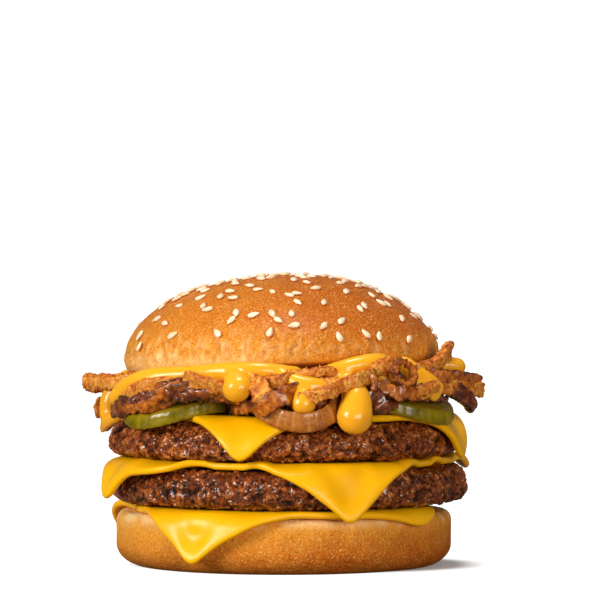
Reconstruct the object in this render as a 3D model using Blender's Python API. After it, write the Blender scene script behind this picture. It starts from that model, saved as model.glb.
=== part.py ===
"""Double cheeseburger on a sesame bun, at its real size.

The front of the burger faces -Y, up is +Z, and the origin is the middle of the flat face that the heel stands on.
Lengths are in millimetres until mesh_object() turns them into metres. An angle is counted in degrees round the
burger's axis, from the front, so that 90 is the burger's right-hand side (+X).
"""

import math
import random
from dataclasses import dataclass

import bmesh
import bpy
from mathutils import Matrix, Vector, noise

MM = 0.001
GAP = 0.3
CUT_GAP = 0.4
KEPT_OFF = 2 * GAP
FULL_TURN = 360.0
SMOOTH_BELOW_DEG = 50

# Heights at which the layers meet, from the table up
HEEL_TOP = 17.6
CHEESE_THICKNESS = 2.2
LOWER_PATTY_BOTTOM = HEEL_TOP + CHEESE_THICKNESS + 2 * GAP
LOWER_PATTY_TOP = LOWER_PATTY_BOTTOM + 12.0
UPPER_PATTY_BOTTOM = LOWER_PATTY_TOP + CHEESE_THICKNESS + 2 * GAP
UPPER_PATTY_TOP = UPPER_PATTY_BOTTOM + 11.6
FILLING_BOTTOM = UPPER_PATTY_TOP + CHEESE_THICKNESS + 2 * GAP
FILLING_TOP = FILLING_BOTTOM + 10.7
SAUCE_BOTTOM = FILLING_TOP + GAP
SAUCE_TOP = SAUCE_BOTTOM + 2.4
CROWN_BOTTOM = SAUCE_TOP + GAP

# The crown leans to the burger's left, and what carries it slopes the same way
LEAN_DEG = 2.1
LEAN = math.tan(math.radians(LEAN_DEG))

CROWN_RADIUS = 50.0
CROWN_EQUATOR = 3.0
CROWN_DOME = 25.8
CROWN_BASE_RADIUS = 48.4
CROWN_SHIFT = -0.6
DOME_POWER = 2.06
UNDER_CROWN = 47.0  # within this radius a strip passes below the crown, and outside it goes round

SEED_COUNT = 66
SEED_LENGTH = 3.3
SEED_WIDTH = 1.9
SEED_THICKNESS = 1.0
SEED_SUNK = 0.2
SEED_SPACING = 4.1
SEED_LOWEST = 0.13
SEED_RULE = 11

PICKLE_THICKNESS = 4.5
PICKLE_BEND_FROM = 45.5
PICKLE_SEGMENTS = 18
POCKET_SIDES = 12
POCKET_BOTTOM = -3.0
POCKET_TOP = PICKLE_THICKNESS + 3 * GAP

# Draped cheese: how much wider than the gap it passes round a shoulder, how much later it starts to bend there,
# and the steps of its bend
SLACK = 0.7
BEND_LATER = 1.4
BEND_STEPS = 3
HANG_FLARE = 0.06

RING_SEGMENTS = 44
CORE_SEGMENTS = 30
CRAG_SIZE = 5.5
CRAG_DEPTH = 1.2


@dataclass(frozen=True)
class Layer:
    """A round layer, a bun half or a patty, given by the profile of its side."""

    centre_x: float
    radius: float
    bottom: float
    top: float
    shoulder: tuple  # how far the upper edge rounds inwards, and down
    toe: tuple  # how far the lower edge rounds inwards, and up
    uneven: float
    wave: int

    def rim(self, angle):
        return self.radius * (1 + self.uneven * wobble(angle, self.wave))

    def flat_radius(self, angle):
        return self.rim(angle) - self.shoulder[0]

    def side(self, angle, toe_steps, shoulder_steps):
        """(radius, height) points from the flat underside, round the side, to the flat top."""
        rim = self.rim(angle)
        points = []
        for turn in quarter(toe_steps):
            out = rim - self.toe[0] * (1 - math.sin(turn))
            points.append((out, self.bottom + self.toe[1] * (1 - math.cos(turn))))
        for turn in quarter(shoulder_steps):
            out = rim - self.shoulder[0] * (1 - math.cos(turn))
            points.append((out, self.top - self.shoulder[1] * (1 - math.sin(turn))))
        return points


@dataclass(frozen=True)
class Slice:
    """A square slice of cheese, draped over a layer. Sides are the distances from the middle to its four edges."""

    name: str
    carrier: Layer
    first_side: float  # the angle that the first edge faces
    sides: tuple
    corners: tuple  # how sharp each corner is, as the power of a superellipse
    steps: int  # to each edge

    def reach(self, angle):
        """The slice's length in that direction, measured along its surface."""
        quadrant, turn = divmod((angle - self.first_side) % FULL_TURN, 90)
        i = int(quadrant)
        across = math.cos(math.radians(turn)) / self.sides[i]
        along = math.sin(math.radians(turn)) / self.sides[(i + 1) % 4]
        power = self.corners[i]
        return (across**power + along**power) ** (-1 / power)

    def corner_angles(self):
        return [
            self.first_side + 90 * i + math.degrees(math.atan2(self.sides[(i + 1) % 4], self.sides[i]))
            for i in range(4)
        ]


@dataclass(frozen=True)
class Strip:
    """A strip of fried onion through places (angle, radius, height). It roots in the heap at the ends named."""

    places: tuple
    width: float
    depth: float
    roots: str = "ab"
    twist: float = 0.0


HEEL = Layer(0.0, 53.3, 0.0, HEEL_TOP, (3.0, 3.2), (9.0, 7.0), 0.004, 3)
LOWER_PATTY = Layer(1.7, 56.6, LOWER_PATTY_BOTTOM, LOWER_PATTY_TOP, (5.0, 7.0), (4.5, 4.0), 0.010, 8)
UPPER_PATTY = Layer(0.0, 55.8, UPPER_PATTY_BOTTOM, UPPER_PATTY_TOP, (8.0, 7.5), (4.0, 3.5), 0.010, 21)

SLICES = (
    Slice("cheese_lower", HEEL, 15.0, (50.0, 40.0, 45.0, 48.0), (6, 16, 24, 24), 13),
    Slice("cheese_middle", LOWER_PATTY, -27.0, (52.0, 52.0, 42.0, 44.0), (24, 8, 24, 24), 12),
    Slice("cheese_upper", UPPER_PATTY, -60.0, (46.0, 49.0, 46.0, 42.0), (24, 24, 16, 16), 11),
)

# Each pickle slice: angle and radius of its middle, its own radius, how much it rises to the right, and its bend
PICKLES = {
    "pickle_front_left": (-49, 42.0, 18.0, 0.002, 0.0255),
    "pickle_front_right": (59, 42.0, 17.0, -0.020, 0.025),
    "pickle_back_right": (136, 40.5, 16.5, 0.020, 0.026),
    "pickle_back_left": (-138, 40.0, 17.0, -0.015, 0.026),
}

SHOWING_STRIPS = (
    Strip(((-83, 64.0, 58.3), (-70, 57.5, 58.6), (-57, 52.0, 59.3)), 5.0, 4.4, "b"),
    Strip(((-60, 57.0, 55.9), (-48, 58.0, 58.8), (-37, 55.0, 60.6)), 4.8, 3.0, "b"),
    Strip(((-67, 58.0, 50.9), (-53, 59.0, 53.2), (-39, 56.0, 57.0)), 5.0, 2.8, "b"),
    Strip(((-51, 59.5, 51.0), (-42, 59.0, 54.8), (-34, 56.0, 60.2)), 3.2, 3.0, "b", 60),
    Strip(((-33, 55.0, 60.0), (-27, 58.0, 58.6), (-20, 56.0, 58.0)), 5.0, 2.8, "a", 35),
    Strip(((-35, 56.0, 54.4), (-27, 57.5, 55.3), (-20, 54.5, 57.0)), 3.0, 2.8, "b"),
    Strip(((-10, 54.5, 60.0), (-7, 59.0, 57.0), (-5, 58.0, 53.8)), 6.6, 3.4, "a"),
    Strip(((-8, 59.0, 51.6), (-3, 60.0, 54.0), (3, 57.0, 57.3)), 4.8, 2.8, "b"),
    Strip(((5, 59.5, 55.4), (12, 61.0, 57.6), (20, 57.0, 59.3)), 3.8, 3.0, "b"),
    Strip(((13, 55.0, 59.4), (20, 59.0, 60.4), (27, 58.0, 61.2)), 4.2, 3.0, "a"),
    Strip(((26, 56.0, 58.6), (28, 60.0, 54.8), (30, 60.5, 50.4)), 4.4, 2.8, "a"),
    Strip(((28, 54.0, 62.4), (33, 57.5, 65.0), (38, 56.5, 65.6)), 5.4, 4.2, "a"),
    Strip(((30, 57.5, 56.6), (38, 59.5, 54.6), (46, 57.0, 55.2)), 4.8, 2.6, "b"),
    Strip(((41, 58.0, 55.6), (46, 60.5, 56.6), (52, 60.0, 58.0)), 3.4, 2.8, "a"),
    Strip(((49, 54.0, 62.2), (59, 56.5, 66.6), (67, 56.5, 70.2)), 4.6, 3.4, "a"),
    Strip(((53, 56.0, 61.2), (66, 59.5, 60.4), (78, 64.2, 58.9)), 4.6, 4.0, "a"),
    Strip(((56, 56.0, 57.8), (70, 60.0, 57.2), (83, 62.5, 56.0)), 4.0, 3.4, "a"),
    Strip(((60, 55.0, 58.4), (66, 60.0, 55.0), (70, 62.5, 50.4)), 5.0, 3.6, "a"),
    Strip(((-84, 55.0, 55.0), (-80, 60.0, 53.0), (-76, 61.0, 49.6)), 3.4, 3.0, "a"),
)
BACK_STRIPS = 10
BACK_FROM, BACK_TO = 92.0, 268.0
BACK_RULE = 29

ONION_RING = ((41, 57.5, 66.0), (37, 59.0, 63.0), (39, 59.5, 59.6), (44, 59.5, 59.4), (46, 58.0, 62.6), (44, 57.0, 65.6))
ONION_RING_WIDTH = 2.6

ONION_SLICE = ((-8, 51.5, 53.4), (-5, 57.0, 50.4), (6, 61.5, 46.9), (14, 59.5, 49.2), (19, 52.0, 54.0))
ONION_SLICE_WIDTH = 4.2
ONION_SLICE_DEPTH = 2.0

# Runs of sauce, from the pool's edge outwards and down: (angle, radius, height, half the run's thickness)
SAUCE_RUNS = (
    ((-41, 52.5, 61.4, 2.4), (-52, 55.5, 59.8, 2.8), (-60, 58.0, 56.6, 3.0), (-64, 59.5, 53.4, 2.6)),
    ((-71, 55.5, 58.0, 3.0), (-73, 59.0, 54.6, 3.7), (-73, 60.0, 51.4, 3.0)),
    ((-17, 53.0, 62.0, 2.6), (-15, 57.0, 60.2, 3.8), (-14, 58.5, 57.4, 4.6)),
    ((-46, 52.2, 61.2, 1.7), (-32, 53.0, 62.6, 1.9), (-20, 53.5, 63.0, 2.1), (-6, 53.3, 63.2, 2.1), (4, 51.0, 62.8, 1.4)),
    ((0, 53.0, 61.8, 2.4), (7, 56.0, 59.4, 3.0), (15, 56.5, 58.4, 2.4)),
    ((5, 56.0, 58.0, 2.2), (6, 58.5, 54.6, 3.6), (6, 58.5, 53.0, 3.6)),
    ((21, 54.5, 60.2, 3.0), (22, 59.0, 56.0, 4.4), (21, 61.0, 51.0, 5.0)),
    ((15, 51.5, 62.8, 1.5), (23, 53.5, 63.8, 2.2), (31, 54.0, 65.0, 2.5), (39, 52.0, 64.4, 1.6)),
    ((31, 52.5, 62.4, 1.8), (36, 56.0, 59.6, 2.4), (46, 56.5, 57.4, 2.0)),
    ((48, 53.0, 63.0, 2.4), (53, 57.5, 58.6, 3.4), (57, 59.0, 55.0, 3.8)),
    ((64, 52.5, 63.8, 2.2), (68, 57.5, 63.8, 3.0)),
)
POOL_ROOT = 46.5
BACK_RUNS = (108, 141, 172, 207, 245)
BACK_RUN_RULE = 5


def quarter(steps):
    """The angles of a quarter turn in equal steps, in radians."""
    return [math.pi / 2 * i / steps for i in range(steps + 1)]


def wobble(angle, wave):
    """A smooth closed wave round the burger, within -1 and 1."""
    rule = random.Random(wave)
    total = 0.0
    for k in range(2, 7):
        total += math.cos(math.radians(k * angle) + rule.uniform(0, math.tau)) / k
    return total / 1.45


def smooth(share):
    share = min(max(share, 0.0), 1.0)
    return share * share * (3 - 2 * share)


def polar(angle, radius, height, centre_x=0.0):
    turn = math.radians(angle)
    return Vector((centre_x + radius * math.sin(turn), -radius * math.cos(turn), height))


def material(name, colour, roughness):
    made = bpy.data.materials.new(name)
    made.use_nodes = True
    shader = made.node_tree.nodes["Principled BSDF"]
    shader.inputs["Base Color"].default_value = (*colour, 1)
    shader.inputs["Roughness"].default_value = roughness
    shader.inputs["Metallic"].default_value = 0.0
    return made


def mesh_object(name, points, faces, finish=None):
    """An object at the origin from points in millimetres, with its faces turned outwards."""
    mesh = bpy.data.meshes.new(name)
    mesh.from_pydata([Vector(p) * MM for p in points], [], faces)
    shape = bmesh.new()
    shape.from_mesh(mesh)
    bmesh.ops.recalc_face_normals(shape, faces=shape.faces)
    shape.to_mesh(mesh)
    shape.free()
    obj = bpy.data.objects.new(name, mesh)
    bpy.context.scene.collection.objects.link(obj)
    if finish:
        mesh.materials.append(finish)
    return obj


def skinned(name, rings, first, last, finish=None):
    """A closed solid over rings of points, from a first point to a last one."""
    count = len(rings[0])
    points = [first] + [p for ring in rings for p in ring] + [last]
    faces = []
    for i in range(count):
        j = (i + 1) % count
        faces.append((0, 1 + j, 1 + i))
        for k in range(len(rings) - 1):
            low, high = 1 + k * count, 1 + (k + 1) * count
            faces.append((low + i, low + j, high + j, high + i))
        top = 1 + (len(rings) - 1) * count
        faces.append((top + i, top + j, len(points) - 1))
    return mesh_object(name, points, faces, finish)


def through(places, steps):
    """Points on a smooth curve through the places, steps to each stretch."""
    ends = [places[0] * 2 - places[1], *places, places[-1] * 2 - places[-2]]
    points = []
    for a, b, c, d in zip(ends, ends[1:], ends[2:], ends[3:]):
        for i in range(steps):
            t = i / steps
            points.append(
                0.5 * (2 * b + (c - a) * t + (2 * a - 5 * b + 4 * c - d) * t**2 + (3 * b - a - 3 * c + d) * t**3)
            )
    return points + [places[-1].copy()]


def floor_height(x, y):
    """How high the cheese on the upper patty, or a pickle slice on it, stands at a place. Past its side, very low."""
    angle, radius = math.degrees(math.atan2(x, -y)), math.hypot(x, y)
    height = -math.inf
    places = drape(UPPER_PATTY, angle, 0.0)[:-1]
    outer = [(r + CHEESE_THICKNESS * out, z + CHEESE_THICKNESS * up) for _, r, z, out, up in places]
    for a, b in zip(outer, outer[1:]):
        if a[0] <= radius < b[0]:
            height = a[1] + (b[1] - a[1]) * (radius - a[0]) / (b[0] - a[0])
    for place in PICKLES.values():
        middle = polar(place[0], place[1], 0)
        if math.hypot(x - middle.x, y - middle.y) < place[2] + GAP:
            height = max(height, pickle_lift(place, x, y) + PICKLE_THICKNESS)
    return height


def settled(point, grow):
    """The point, moved clear of the crown above it and of the cheese and the pickles below it.

    A cutter that is grown by a distance comes that much closer to them. The noise keeps two pieces that settle in
    one place from sharing a plane.
    """
    away = Vector((point.x - CROWN_SHIFT, point.y, 0))
    clearance = KEPT_OFF - grow + 0.2 * noise.noise(point / 3)
    underside = CROWN_BOTTOM - clearance + LEAN * away.x
    clear = CROWN_RADIUS + clearance
    moved = point.copy()
    if point.z > underside and away.length < clear:
        if away.length < UNDER_CROWN:
            moved.z = underside
        else:
            moved.x = CROWN_SHIFT + away.x * clear / away.length
            moved.y = away.y * clear / away.length
    moved.z = max(moved.z, floor_height(moved.x, moved.y) + clearance)
    return moved


def swept(name, centres, halves, sides, grow=0.0, twist=0.0, closed=False):
    """A strip or run along its centres, kept clear of its neighbours.

    halves holds (half the depth, half the width) for each centre. A cutter grows by a distance all round.
    """
    rings = []
    count = len(centres)
    for i, centre in enumerate(centres):
        before = centres[i - 1] if i or closed else centres[i]
        after = centres[(i + 1) % count] if i < count - 1 or closed else centres[i]
        along = (after - before).normalized()
        outward = Vector((centre.x, centre.y, 0)).normalized()
        outward = (outward - along * outward.dot(along)).normalized()
        across = along.cross(outward)
        depth, width = halves[i][0] + grow, halves[i][1] + grow
        ring = []
        for k in range(sides):
            turn = math.tau * (k + 0.5) / sides
            roll = math.radians(twist * i / (count - 1))
            u, v = depth * math.cos(turn), width * math.sin(turn)
            out = u * math.cos(roll) - v * math.sin(roll)
            up = u * math.sin(roll) + v * math.cos(roll)
            ring.append(settled(centre + outward * out + across * up, grow))
        rings.append(ring)
    if closed:
        points = [p for ring in rings for p in ring]
        faces = []
        for i in range(count):
            for k in range(sides):
                a, b = i * sides, (i + 1) % count * sides
                n = (k + 1) % sides
                faces.append((a + k, a + n, b + n, b + k))
        return mesh_object(name, points, faces)
    ends = [sum(ring, Vector()) / sides for ring in (rings[0], rings[-1])]
    return skinned(name, rings, *ends)


def crag(point):
    """How far a patty's side is worn inwards at a point."""
    lump = noise.noise(point / CRAG_SIZE) + 0.5 * noise.noise(point / CRAG_SIZE * 2.3)
    return CRAG_DEPTH * min(max(0.35 + 0.6 * lump, 0.0), 1.0)


def layer_solid(name, layer, toe_steps, shoulder_steps, finish=None, craggy=False, segments=RING_SEGMENTS):
    """The solid of a round layer, such as a bun half or a patty."""
    angles = [FULL_TURN * i / segments for i in range(segments)]
    sides = [layer.side(a, toe_steps, shoulder_steps) for a in angles]
    rings = []
    last = len(sides[0]) - 1
    for k in range(last + 1):
        ring = []
        for angle, side in zip(angles, sides):
            radius, height = side[k]
            worn = crag(polar(angle, radius, height)) if craggy and 0 < k < last else 0.0
            ring.append(polar(angle, radius - worn, height, layer.centre_x))
        rings.append(ring)
    first = Vector((layer.centre_x, 0, layer.bottom))
    return skinned(name, rings, first, Vector((layer.centre_x, 0, layer.top)), finish)


def drape(layer, angle, reach):
    """Places over a layer's top and down its side: (length, radius, height, outward part, upward part)."""
    flat = layer.flat_radius(angle) + BEND_LATER
    run, drop = layer.shoulder[0] + GAP + SLACK - BEND_LATER, layer.shoulder[1] + GAP + SLACK
    level = layer.top + GAP
    places = [(0.0, 0.0, level, 0.0, 1.0), (flat, flat, level, 0.0, 1.0)]
    length = flat
    for turn in quarter(BEND_STEPS)[1:]:
        radius = flat + run * math.sin(turn)
        height = level - drop * (1 - math.cos(turn))
        length += math.hypot(radius - places[-1][1], height - places[-1][2])
        across, up = math.sin(turn) / run, math.cos(turn) / drop
        size = math.hypot(across, up)
        places.append((length, radius, height, across / size, up / size))
    rest = max(reach - length, 0.0) + 1.0
    places.append((length + rest, flat + run + HANG_FLARE * rest, level - drop - rest, 1.0, 0.0))
    return places


def on_drape(places, length):
    for a, b in zip(places, places[1:]):
        if length <= b[0]:
            t = (length - a[0]) / (b[0] - a[0])
            return [p + (q - p) * t for p, q in zip(a, b)]
    return list(places[-1])


def slice_solid(cheese, finish):
    """A slice of cheese that lies on its layer and hangs flat at its corners."""
    corners = cheese.corner_angles()
    angles = []
    for start, end in zip(corners, corners[1:] + [corners[0] + FULL_TURN]):
        for i in range(cheese.steps):
            share = i / cheese.steps
            share -= 0.09 * math.sin(math.tau * share)
            angles.append(start + (end - start) * share)
    layer = cheese.carrier
    lower = [[] for _ in range(BEND_STEPS + 2)]
    upper = [[] for _ in lower]
    edge = []
    for angle in angles:
        reach = cheese.reach(angle)
        places = drape(layer, angle, reach)
        lengths = [place[0] for place in places[1:-1]] + [reach]
        off = min(abs((angle - corner + 180) % FULL_TURN - 180) for corner in corners)
        flat_hang = 1 / math.cos(math.radians(min(off, 34))) - 1
        for k, length in enumerate(lengths):
            squeezed = min(length, reach - 0.4 * (len(lengths) - 1 - k))
            _, radius, height, out, up = on_drape(places, squeezed)
            radius += 0.7 * smooth((squeezed - places[1][0]) / 12.0) * radius * flat_hang
            lower[k].append(polar(angle, radius, height, layer.centre_x))
            thick = CHEESE_THICKNESS
            upper[k].append(polar(angle, radius + thick * out, height + thick * up, layer.centre_x))
        half = 0.5 * CHEESE_THICKNESS
        rim = radius + half * out + 0.5 * up
        edge.append(polar(angle, rim, height + half * up - 0.5 * out, layer.centre_x))
    rings = lower + [edge] + upper[::-1]
    first = Vector((layer.centre_x, 0, layer.top + GAP))
    return skinned(cheese.name, rings, first, first + Vector((0, 0, CHEESE_THICKNESS)), finish)


def pickle_lift(place, x, y):
    """The height of a pickle slice's underside over a place."""
    angle, radius, _, rise, bend = place
    middle = polar(angle, radius, 0)
    over = max(math.hypot(x, y) - PICKLE_BEND_FROM, 0.0)
    return FILLING_BOTTOM + GAP + abs(rise) * 14 + rise * (x - middle.x) - bend * over**2


def pickle_solid(name, place, finish):
    """A pickle slice on the upper cheese, bent down where it passes the patty's shoulder."""
    angle, radius, size = place[:3]
    middle = polar(angle, radius, 0)
    lower = [(size * 0.6, 0.0), (size - 1.0, 0.0), (size, 0.8)]
    profile = lower + [(out, PICKLE_THICKNESS - height) for out, height in lower[::-1]]
    rings = []
    for reach, height in profile:
        ring = []
        for i in range(PICKLE_SEGMENTS):
            turn = math.tau * i / PICKLE_SEGMENTS
            x, y = middle.x + reach * math.cos(turn), middle.y + reach * math.sin(turn)
            ring.append(Vector((x, y, pickle_lift(place, x, y) + height)))
        rings.append(ring)
    level = pickle_lift(place, middle.x, middle.y)
    ends = [Vector((middle.x, middle.y, level + height)) for height in (0.0, PICKLE_THICKNESS)]
    return skinned(name, rings, *ends, finish)


def pickle_pocket(name, place):
    """The room that a pickle slice needs in the heap, down to the cheese."""
    angle, radius, size = place[:3]
    middle = polar(angle, radius, 0)
    room = size / math.cos(math.pi / POCKET_SIDES) + GAP
    rings = []
    for reach, height in ((room, POCKET_BOTTOM), (room, POCKET_TOP), (room * 0.6, POCKET_TOP)):
        ring = []
        for i in range(POCKET_SIDES):
            turn = math.tau * i / POCKET_SIDES
            x, y = middle.x + reach * math.cos(turn), middle.y + reach * math.sin(turn)
            ring.append(Vector((x, y, pickle_lift(place, x, y) + height)))
        rings.append(ring)
    level = pickle_lift(place, middle.x, middle.y)
    ends = [Vector((middle.x, middle.y, level + height)) for height in (POCKET_BOTTOM, POCKET_TOP)]
    return skinned(name, rings, *ends)


def back_strips():
    """Strips round the half of the heap that faces away, laid by the same habits as those in front."""
    rule = random.Random(BACK_RULE)
    strips = []
    for i in range(BACK_STRIPS):
        angle = BACK_FROM + (BACK_TO - BACK_FROM) * (i + rule.uniform(0.2, 0.8)) / BACK_STRIPS
        span = rule.uniform(7, 13)
        height = 54.0 + 7.0 * ((i * 0.62) % 1)
        slant = rule.uniform(-3.0, 3.0)
        out = rule.uniform(56.0, 60.0)
        places = (
            (angle - span, out - 1.5, height - slant),
            (angle, out + 1.0, height),
            (angle + span, out + rule.uniform(-2.0, 2.0), height + slant),
        )
        strips.append(Strip(places, rule.uniform(3.4, 5.2), rule.uniform(2.8, 3.6), "ab", rule.choice((0, 30, 60))))
    return strips


def strip_solid(name, strip):
    """One onion strip, with its rooted ends carried into the heap."""
    centres = [polar(*p) for p in strip.places]
    halves = [(strip.depth / 2, strip.width / 2)] * len(centres)
    first, last = strip.places[0], strip.places[-1]
    turn = math.copysign(2.0, last[0] - first[0] or 1.0)
    thin = (0.35 * strip.depth, 0.35 * strip.width)
    if "a" in strip.roots:
        centres.insert(0, polar(first[0] - turn, 46.5, root_height(first)))
        halves.insert(0, thin)
    if "b" in strip.roots:
        centres.append(polar(last[0] + turn, 46.5, root_height(last)))
        halves.append(thin)
    return swept(name, centres, halves, 4, twist=strip.twist)


def root_height(place):
    """The height at which a strip that ends at this place goes into the heap."""
    slope = LEAN * place[1] * math.sin(math.radians(place[0]))
    return min(max(place[2], FILLING_BOTTOM + 3.5), FILLING_TOP - 2.0 + min(slope, 0.0))


def ring_solid(name):
    """The small fried onion ring that stands in the sauce."""
    places = [polar(*p) for p in ONION_RING]
    half = ONION_RING_WIDTH / 2
    return swept(name, places, [(half, half)] * len(places), 4, closed=True)


def core_solid(name):
    """The tangle of onion that the strips grow from, as one lump."""
    layer = Layer(0.0, 51.5, FILLING_BOTTOM, FILLING_TOP, (5.0, 4.0), (3.0, 3.0), 0.025, 6)
    solid = layer_solid(name, layer, 1, 1, segments=CORE_SEGMENTS)
    for vertex in solid.data.vertices:
        if vertex.co.z > 0.5 * (FILLING_BOTTOM + FILLING_TOP) * MM:
            vertex.co.z += LEAN * vertex.co.x
    return solid


def slice_of_onion(name, grow=0.0):
    """The cooked onion slice that hangs over the upper patty's front edge."""
    centres = through([polar(*p) for p in ONION_SLICE], 2)
    halves = [(ONION_SLICE_DEPTH / 2, ONION_SLICE_WIDTH / 2)] * len(centres)
    return swept(name, centres, halves, 6, grow)


def pool_level(angle, radius):
    """The height halfway through the pool of sauce at a place."""
    return 0.5 * (SAUCE_BOTTOM + SAUCE_TOP) + LEAN * radius * math.sin(math.radians(angle))


def sauce_pool(name, grow=0.0):
    """The pool of sauce between the onions and the crown."""
    layer = Layer(0.0, 49.0 + grow, SAUCE_BOTTOM - grow, SAUCE_TOP + grow, (1.0, 1.1), (1.0, 1.1), 0.030, 15)
    solid = layer_solid(name, layer, 1, 1, segments=CORE_SEGMENTS)
    for vertex in solid.data.vertices:
        vertex.co.z += LEAN * vertex.co.x
    return solid


def back_runs():
    """Runs of sauce on the side that faces away."""
    rule = random.Random(BACK_RUN_RULE)
    runs = []
    for angle in BACK_RUNS:
        thick = rule.uniform(2.6, 4.2)
        fall = rule.uniform(5.0, 10.0)
        drift = rule.uniform(-3, 3)
        level = pool_level(angle, 52.0)
        start = (angle, 52.5, level - 0.3, thick * 0.7)
        middle = (angle + drift, 57.0, level - fall * 0.5, thick)
        runs.append((start, middle, (angle + drift, 58.5, level - fall, thick)))
    return runs


def run_solid(name, run, grow=0.0):
    """One run of sauce, with a round end. A run that starts beside the pool is rooted in it."""
    centres = [polar(*p[:3]) for p in run]
    halves = [(p[3], p[3]) for p in run]
    ahead = (centres[-1] - centres[-2]).normalized()
    end = halves[-1][0]
    centres.append(centres[-1] + ahead * end * 0.7)
    halves.append((end * 0.62, end * 0.62))
    angle, radius, height, _ = run[0]
    if height > pool_level(angle, radius) - 4.5:
        centres.insert(0, polar(angle, POOL_ROOT, pool_level(angle, POOL_ROOT)))
        halves.insert(0, (0.9, 0.9))
    return swept(name, centres, halves, 6, grow)


def joined(obj, operation, helpers):
    """Applies one Boolean of the helpers to the object, removes them, and keeps the largest body."""
    group = bpy.data.collections.new(obj.name + "_helpers")
    bpy.context.scene.collection.children.link(group)
    for helper in helpers:
        bpy.context.scene.collection.objects.unlink(helper)
        group.objects.link(helper)
    modifier = obj.modifiers.new("Boolean", "BOOLEAN")
    modifier.operation = operation
    modifier.operand_type = "COLLECTION"
    modifier.collection = group
    modifier.solver = "MANIFOLD"
    bpy.context.view_layer.update()
    evaluated = obj.evaluated_get(bpy.context.evaluated_depsgraph_get())
    mesh = bpy.data.meshes.new_from_object(evaluated)
    obj.modifiers.clear()
    obj.data = mesh
    for helper in list(group.objects):
        bpy.data.objects.remove(helper)
    bpy.data.collections.remove(group)
    keep_largest(mesh)
    return obj


def keep_largest(mesh):
    """Drops every loose scrap that a Boolean left beside the largest body."""
    shape = bmesh.new()
    shape.from_mesh(mesh)
    waiting = set(shape.faces)
    bodies = []
    while waiting:
        stack = [waiting.pop()]
        body = list(stack)
        while stack:
            for edge in stack.pop().edges:
                for face in edge.link_faces:
                    if face in waiting:
                        waiting.discard(face)
                        body.append(face)
                        stack.append(face)
        bodies.append(body)
    bodies.sort(key=len)
    scraps = [face for body in bodies[:-1] for face in body]
    bmesh.ops.delete(shape, geom=scraps, context="FACES")
    shape.to_mesh(mesh)
    shape.free()


def dome_point(angle, rise):
    """A point on the crown's dome. rise is its share of the dome's height."""
    radius = CROWN_RADIUS * (1 - rise**DOME_POWER) ** (1 / DOME_POWER)
    radius *= 1 + 0.006 * wobble(angle, 2)
    return polar(angle, radius, CROWN_EQUATOR + CROWN_DOME * rise)


def crown_solid(name, finish):
    """The crown without its seeds, with its underside at height 0."""
    angles = [FULL_TURN * i / RING_SEGMENTS for i in range(RING_SEGMENTS)]
    rings = [[polar(a, CROWN_BASE_RADIUS - 1.2, 0) for a in angles]]
    rings.append([polar(a, CROWN_BASE_RADIUS, 0.8) for a in angles])
    for rise in (0.0, 0.16, 0.32, 0.48, 0.62, 0.75, 0.86, 0.94, 0.985):
        rings.append([dome_point(angle, rise) for angle in angles])
    return skinned(name, rings, Vector((0, 0, 0)), Vector((0, 0, CROWN_EQUATOR + CROWN_DOME)), finish)


def seed_places():
    """Where the sesame seeds lie: (angle, rise, turn), closer together towards the top."""
    rule = random.Random(SEED_RULE)
    places, points = [], []
    while len(places) < SEED_COUNT:
        rise = math.sqrt(rule.uniform(SEED_LOWEST**2, 1.0))
        angle = rule.uniform(0, FULL_TURN)
        turn = rule.uniform(0, math.tau)
        if rule.random() > 0.25 + 0.75 * rise:
            continue
        point = dome_point(angle, min(rise, 0.998))
        if all((point - other).length > SEED_SPACING for other in points):
            points.append(point)
            places.append((angle, min(rise, 0.998), turn))
    return places


def seed_solid(name, angle, rise, turn):
    """One sesame seed, a flat drop with a pointed end, lying on the dome."""
    point = dome_point(angle, rise)
    around = dome_point(angle + 1, rise) - dome_point(angle - 1, rise)
    if around.length < 0.02:
        around = Vector((1, 0, 0))
    upward = dome_point(angle, min(rise + 0.01, 1.0)) - dome_point(angle, rise - 0.01)
    outward = around.cross(upward).normalized()
    along = (Matrix.Rotation(turn, 3, outward) @ around).normalized()
    across = outward.cross(along)
    centre = point + outward * (SEED_THICKNESS / 2 - SEED_SUNK)
    rings = []
    for place, half in ((-0.30, 0.85), (0.22, 0.85)):
        ring = []
        for k in range(5):
            spin = math.tau * k / 5
            side = across * (math.cos(spin) * half * SEED_WIDTH / 2)
            lift = outward * (math.sin(spin) * (0.55 + 0.45 * half) * SEED_THICKNESS / 2)
            ring.append(centre + along * (place * SEED_LENGTH) + side + lift)
        rings.append(ring)
    ends = [centre + along * (SEED_LENGTH * e) for e in (-0.5, 0.5)]
    return skinned(name, rings, ends[0], ends[1])


def set_crown(obj):
    """Puts a crown shape in its place, leaning with the layers under it."""
    obj.location = Vector((CROWN_SHIFT, 0, CROWN_BOTTOM)) * MM
    obj.rotation_euler = (0, -math.radians(LEAN_DEG), 0)


def shade(obj):
    obj.data.shade_smooth()
    obj.data.set_sharp_from_angle(angle=math.radians(SMOOTH_BELOW_DEG))


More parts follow.
